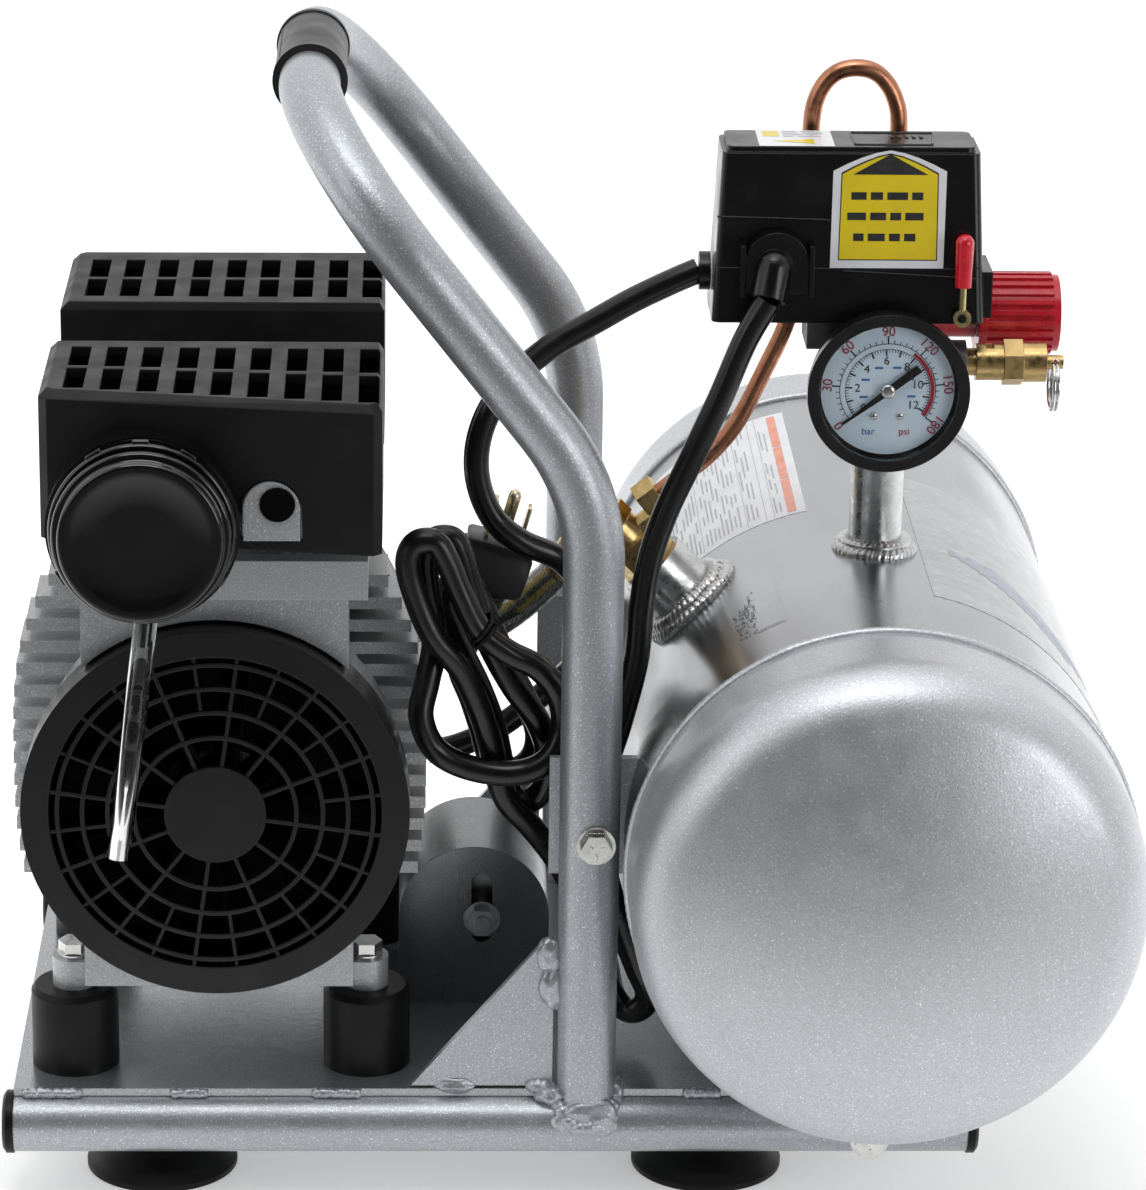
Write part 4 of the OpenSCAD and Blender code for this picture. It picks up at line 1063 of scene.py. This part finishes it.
def barrel_film():
    """Clear film decal with three plain stripes."""
    shape = Shape()
    patch(shape, barrel_place, -12, 77.6, -80, 62, 0, 0)
    for n in range(3):
        for i in range(14):
            a0, a1 = 70 - n * 5 - i * 2.4, 70 - n * 5 - (i + 1) * 2.4
            v0 = -20 - i * (2.6 - n * 0.3)
            patch(shape, barrel_place, a1, a0, v0 - 3.5, v0 + 3.0, 1, 1)
    shape.piece("barrel_film", [film, film_print], "tank_metal")


def stamped_plate():
    """Raised plate, and the small marks scattered beside it."""
    pick = random.Random(11)
    shape = Shape()
    patch(shape, barrel_place, 112.6, 119.5, -94, -50, 0, 0)
    patch(shape, barrel_place, 113.2, 118.9, -92.6, -51.4, 1, 0)
    for n in range(110):
        u = 118.6 + 5.6 * pick.random()
        v = -93 + 44 * pick.random() * (1 - 0.4 * (u - 118.6) / 5.6)
        wide, tall = 0.2 + 0.4 * pick.random(), 0.5 + 1.6 * pick.random()
        patch(shape, barrel_place, u, u + wide, v, v + tall, 1, 1)
    shape.piece("stamped_plate", [barrel_metal, grey_metal], "tank_metal", smooth=False)


SWITCH_Z0 = 320
SWITCH_Z1 = 383


def switch_front(x, z, lift):
    """Point on the front of the switch cover, which leans back towards its top."""
    y = -54.5 + 6 * (z - SWITCH_Z0) / (SWITCH_Z1 - SWITCH_Z0)
    return at(x, y - lift, z)


def switch_top(x, y, lift):
    return at(x, y, SWITCH_Z1 + lift)


def print_bars(shape, place, rows, layer, kind, pick, height):
    """Rows (u0, u1, v) of short bars that stand for words."""
    for u0, u1, v in rows:
        u = u0
        while u < u1 - 2:
            word = min(3.5 + 6 * pick.random(), u1 - u)
            patch(shape, place, u, u + word, v, v + height, layer, kind, FLAT)
            u += word + 1.5


def arch(half_width, top, drop, power):
    """Curved top edge of the sticker, from right to left."""
    steps = (1, 0.75, 0.5, 0.25, 0, -0.25, -0.5, -0.75, -1)
    return [(139.7 + half_width * t, top - drop * abs(t) ** power) for t in steps]


def switch_sticker():
    """House-shaped sticker, white with a yellow field, an arrowhead and plain bars."""
    shape = Shape()
    white, yellow, black = 0, 1, 2
    fields = [
        ([(118.9, 340), (159.6, 340)] + arch(20.3, 382.2, 7.4, 1.5), white),
        ([(121.7, 342.8), (157.3, 342.8)] + arch(17.4, 381.2, 7.0, 1.4), black),
        ([(122.1, 343.2), (156.9, 343.2)] + arch(17.0, 380.7, 7.0, 1.4), yellow),
        ([(126.5, 373.6), (153.3, 373.6), (139.7, 380.9)], black),
    ]
    for layer, (outline, kind) in enumerate(fields):
        outline_patch(shape, switch_front, outline, layer, kind)
    rows = [(126, 154, 364.6), (124.7, 155, 357.3), (127, 152.6, 349.8)]
    print_bars(shape, switch_front, rows, 3, black, random.Random(7), 2.7)
    finishes = [label_white, label_yellow, print_black]
    shape.piece("switch_sticker", finishes, "switch_plastic", smooth=False)


def switch_top_label():
    """Small white label on top of the switch, with two yellow fields and plain bars."""
    shape = Shape()
    white, yellow, grey = 0, 1, 2
    patch(shape, switch_top, 93, 120, -46.5, -22.6, 0, white, FLAT)
    patch(shape, switch_top, 95.2, 101, -32, -24, 1, yellow, FLAT)
    outline_patch(shape, switch_top, [(98, -39), (113, -43), (113, -36)], 1, yellow)
    rows = [(102.5, 118, -25 - 2.4 * k) for k in range(4)]
    print_bars(shape, switch_top, rows, 1, grey, random.Random(3), 0.9)
    finishes = [label_white, label_yellow, print_grey]
    shape.piece("switch_top_label", finishes, "switch_plastic", smooth=False)


barrel_label()
barrel_film()
stamped_plate()
switch_sticker()
switch_top_label()

# ---------- gauge ----------

GAUGE_X = 140.1
GAUGE_Z = 298
DIAL_Y = -64.3
ZERO_ANGLE = 218        # degrees from +X where the scale starts
SWEEP = 254             # degrees clockwise to its end
BAR_SHARE = 0.98        # share of the sweep that 12 bar takes
NUMBER_LIFT = 0.22
BLACK, RED, BLUE = 0, 1, 2


def dial_place(x, z, lift):
    return at(GAUGE_X + x, DIAL_Y - lift, GAUGE_Z + z)


def dial_angle(share):
    return radians(ZERO_ANGLE - SWEEP * share)


def tick(shape, share, r0, r1, width):
    out = Vector(polar(1, dial_angle(share)))
    side = Vector((-out.y, out.x)) * width / 2
    corners = [out * r0 - side, out * r1 - side, out * r1 + side, out * r0 + side]
    outline_patch(shape, dial_place, corners, 1, BLACK)


def ring_arc(shape, share0, share1, r0, r1, kind, layer=1):
    parts = max(4, int(abs(share1 - share0) * 80))
    for i in range(parts):
        a = dial_angle(share0 + (share1 - share0) * i / parts)
        b = dial_angle(share0 + (share1 - share0) * (i + 1) / parts)
        corners = [polar(r, t) for r, t in ((r0, a), (r1, a), (r1, b), (r0, b))]
        outline_patch(shape, dial_place, corners, layer, kind)


def print_on_dial(shape, name):
    shape.piece(name, [print_black, print_red, print_blue], "dial_face", smooth=False)


def dial_marks():
    """Outer scale 0 to 180, inner scale 0 to 12, and the red high-pressure arc."""
    shape = Shape()
    ring_arc(shape, 0, 1, 17.1, 17.35, BLACK)
    ring_arc(shape, 0, 1, 15.1, 15.3, BLACK)
    for k in range(37):
        long, wide = (20.2, 0.5) if k % 6 == 0 else (18.6, 0.28)
        tick(shape, k / 36, 17.2, long, wide)
    for k in range(61):
        start, wide = (12.8, 0.6) if k % 5 == 0 else (14.0, 0.25)
        tick(shape, k / 60 * BAR_SHARE, start, 15.2, wide)
    ring_arc(shape, 2 / 3 - 0.03, 1, 15.5, 16.8, RED, 2)
    for k in range(6):
        x, z = polar(8.9, dial_angle((k + 0.5) / 6))
        patch(shape, dial_place, x - 1.5, x + 1.5, z - 0.4, z + 0.4, 1, BLUE, FLAT)
    print_on_dial(shape, "dial_marks")


def numeral(shape, text, size, x, z, turn, kind):
    """Adds one number or unit to a shape, from the built-in font."""
    data = bpy.data.curves.new("number", "FONT")
    data.body = text
    data.size = size
    data.align_x = "CENTER"
    data.align_y = "CENTER"
    carrier = linked("number", data)
    flat = bpy.data.meshes.new_from_object(carrier)
    c, s = polar(1, turn)
    points = []
    for v in flat.vertices:
        u, w = v.co.x, v.co.y
        points.append(dial_place(x + u * c - w * s, z + u * s + w * c, NUMBER_LIFT))
    shape.add(points, [list(p.vertices) for p in flat.polygons], kind)
    bpy.data.objects.remove(carrier)
    bpy.data.curves.remove(data)
    bpy.data.meshes.remove(flat)


def dial_numbers():
    """Red numbers outside that turn with the scale, black upright ones inside, and the units."""
    shape = Shape()
    for k in range(7):
        a = dial_angle(k / 6)
        numeral(shape, str(30 * k), 5.0, *polar(21.6, a), a - pi / 2, RED)
    for k in range(0, 13, 2):
        place = polar(10.9, dial_angle(k / 12 * BAR_SHARE))
        numeral(shape, str(k), 4.3, *place, 0, BLACK)
    numeral(shape, "bar", 3.7, -6.5, -15.5, 0, BLUE)
    numeral(shape, "psi", 3.7, 6.5, -15.5, 0, RED)
    print_on_dial(shape, "dial_numbers")


def dial_screws():
    """Two small slotted screws under the hub, each slot a black bar of painted shade."""
    shape = Shape()
    for x in (-4.6, 4.6):
        def screw(u, v, w, x=x):
            return dial_place(x + u, -9.6 + v, w)

        loft(shape, [(1.35, 1.35, 0, 2), (1.35, 1.35, 0.5, 2), (1.0, 1.0, 0.8, 2)], screw, 24)
        # painted shade: each slot is a thin black bar on the head, in place of the shade in a cut
        # groove
        slab(shape, (-1.0, -0.18, 0.72), (1.0, 0.18, 0.9), screw, 0, 1)
    shape.piece("dial_screws", [steel, print_black], "dial_face")


def needle_hub():
    """Polished cap on the needle's axis."""
    shape = Shape()
    cap = [(2.7, 2.7, 1.6, 2), (2.7, 2.7, 2.2, 2), (2.4, 2.4, 2.8, 2), (1.5, 1.5, 3.05, 2)]
    loft(shape, cap, dial_place, 32)
    shape.piece("needle_hub", [steel], "dial_face", body="needle")


dial_marks()
dial_numbers()
dial_screws()
needle_hub()

# ---------- switch box details ----------


def switch_lines():
    """Raised lips along the joint of the cover and the base, and the recess on top with its ribs."""
    shape = Shape()

    def lips(corners, place, parts, lift, radius):
        for (u0, v0), (u1, v1) in corners:
            line = []
            for k in range(parts + 1):
                line.append(place(u0 + (u1 - u0) * k / parts, v0 + (v1 - v0) * k / parts, lift))
            shape.add(*sweep(line, wire(radius), 10))

    joint = [
        ((78.3, 358.2), (118.6, 357.2)), ((123, 338.9), (171.5, 336.4)), ((171.5, 336.4), (172.3, 321)),
    ]
    lips(joint, switch_front, 24, 0.05, 0.42)
    recess = [(127, -25.5), (157, -25.5), (155, -43.5), (127.5, -43.5), (127, -25.5)]
    lips(zip(recess, recess[1:]), switch_top, 12, 0, 0.45)
    for k in range(5):
        slab(shape, (141 + k * 2.6, -33.5, 0), (142.3 + k * 2.6, -29.5, 0.35), switch_top, 0.15)
    shape.piece("switch_mouldings", [switch_plastic], "switch_plastic")


def bolt_marks():
    """Raised grade marks on the heads of the flange bolts."""
    shape = Shape()
    for side in (1, -1):
        y = side * (FRONT_Y - TUBE_R - 5.62)
        for x, z in ((36.3, 142), (138.5, 26)):
            for k in range(3):
                c, s = polar(1, TURN * k / 3 + 0.5)
                inner, outer = (Vector((x + r * c, y, z + r * s)) for r in (1.5, 3.4))
                line = [at(*inner.lerp(outer, i / 6)) for i in range(7)]
                shape.add(*sweep(line, wire(0.4), 8))
    shape.piece("bolt_marks", [zinc], "zinc")


def grip_seam():
    """Moulding line along the handle grip."""
    shape = Shape()
    lean = radians(38)
    reach, bend_z, radius = 164.6, 272, 12.95
    x = HANDLE_X - reach * sin(lean)
    z = bend_z + reach * cos(lean)
    for a in (radians(150), radians(330)):
        u, w = polar(radius, a)
        line = [at(x + u, y, z + w) for y in range(-27, 28)]
        shape.add(*sweep(line, wire(0.35), 8))
    shape.piece("grip_seam", [grip_rubber], "black_rubber")


def filter_tabs():
    """Small tabs on the rim of the intake filter."""
    shape = Shape()
    rim = 31.5
    for a in (60, 90, 120, 210, 330):
        x, z = polar(1, radians(a))

        def tab(u, v, w, out=Vector((x, 0, z)), round_way=Vector((-z, 0, x))):
            p = Vector((FILTER_X, 0, FILTER_Z)) + out * (rim + w) + round_way * u
            return at(p.x, v, p.z)

        slab(shape, (-3, -132, 0), (3, -126.5, 2.0), tab, 0.4)
    shape.piece("filter_tabs", [filter_plastic], "filter_plastic")


switch_lines()
bolt_marks()
grip_seam()
filter_tabs()

# ---------- studio ----------

WHITE = (1, 1, 1, 1)
FLOOR_SIZE = 30
FLOOR_Z = -0.0002           # just under the feet


def make_floor():
    """Pale paper with painted light and shade: it glows behind the object and is painted darker in
    front of it.
    """
    mesh = bpy.data.meshes.new("floor")
    corners = [(-1, -1), (1, -1), (1, 1), (-1, 1)]
    points = [(x * FLOOR_SIZE, y * FLOOR_SIZE, FLOOR_Z) for x, y in corners]
    mesh.from_pydata(points, [], [(0, 1, 2, 3)])
    pale = Finish("floor_paper", 0.86, 0.8)
    pale.mottle(400, (0.84, 0.84, 0.85), 0.5).grain(2, 0.02)
    split = pale.new("SeparateXYZ")
    pale.link(pale.place, split.inputs["Vector"])
    # painted shade: the paper's colour is darker in front of the object, towards the camera
    pale.tint(0.11, pale.band(split.outputs["Y"], -0.85, -0.25, 1, 0))
    # painted light: the paper glows, faintly in front and brighter behind the object
    glow = pale.band(split.outputs["Y"], -0.6, 0.3, 0.01, 0.6)
    pale.link(glow, pale.shader["Emission Strength"])
    pale.shader["Emission Color"].default_value = WHITE
    mesh.materials.append(pale.material)
    linked("floor", mesh)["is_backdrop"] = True


def make_world():
    """Plain white surroundings, dimmer on the camera's side."""
    world = bpy.data.worlds.new("studio")
    bpy.context.scene.world = world
    world.use_nodes = True
    tree = world.node_tree
    place = tree.nodes.new("ShaderNodeTexCoord").outputs["Generated"]
    split = tree.nodes.new("ShaderNodeSeparateXYZ")
    ramp = tree.nodes.new("ShaderNodeMapRange")
    ramp.interpolation_type = "SMOOTHSTEP"
    set_range(ramp, -0.85, 0.3, 0.04, 1.0)
    background = tree.nodes["Background"].inputs
    background["Color"].default_value = WHITE
    tree.links.new(place, split.inputs["Vector"])
    tree.links.new(split.outputs["Y"], ramp.inputs["Value"])
    tree.links.new(ramp.outputs["Result"], background["Strength"])


def softbox(name, place, target, width, height, power):
    """Rectangular light at a place, turned to a target, in metres and watts."""
    data = bpy.data.lights.new(name, "AREA")
    data.shape = "RECTANGLE"
    data.size, data.size_y = width, height
    data.energy = power
    light = linked(name, data)
    light.location = place
    light.rotation_mode = "QUATERNION"
    light.rotation_quaternion = (Vector(target) - Vector(place)).to_track_quat("-Z", "Y")


make_floor()
make_world()
softbox("left_softbox", (-1.5, -0.9, 1.1), (0, 0, 0.2), 0.9, 1.6, 5)
softbox("right_softbox", (1.3, -1.35, 0.55), (0.1, 0, 0.15), 0.9, 0.9, 8)
softbox("front_softbox", (-0.2, -0.95, 2.4), (0, 0, 0.2), 1.3, 0.8, 11)
softbox("top_softbox", (0.0, -0.3, 2.0), (0, 0, 0.2), 1.6, 1.2, 6)
bpy.context.scene.view_settings.view_transform = "Standard"

[[list(corner) for corner in box] for box in (cad_box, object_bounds())]
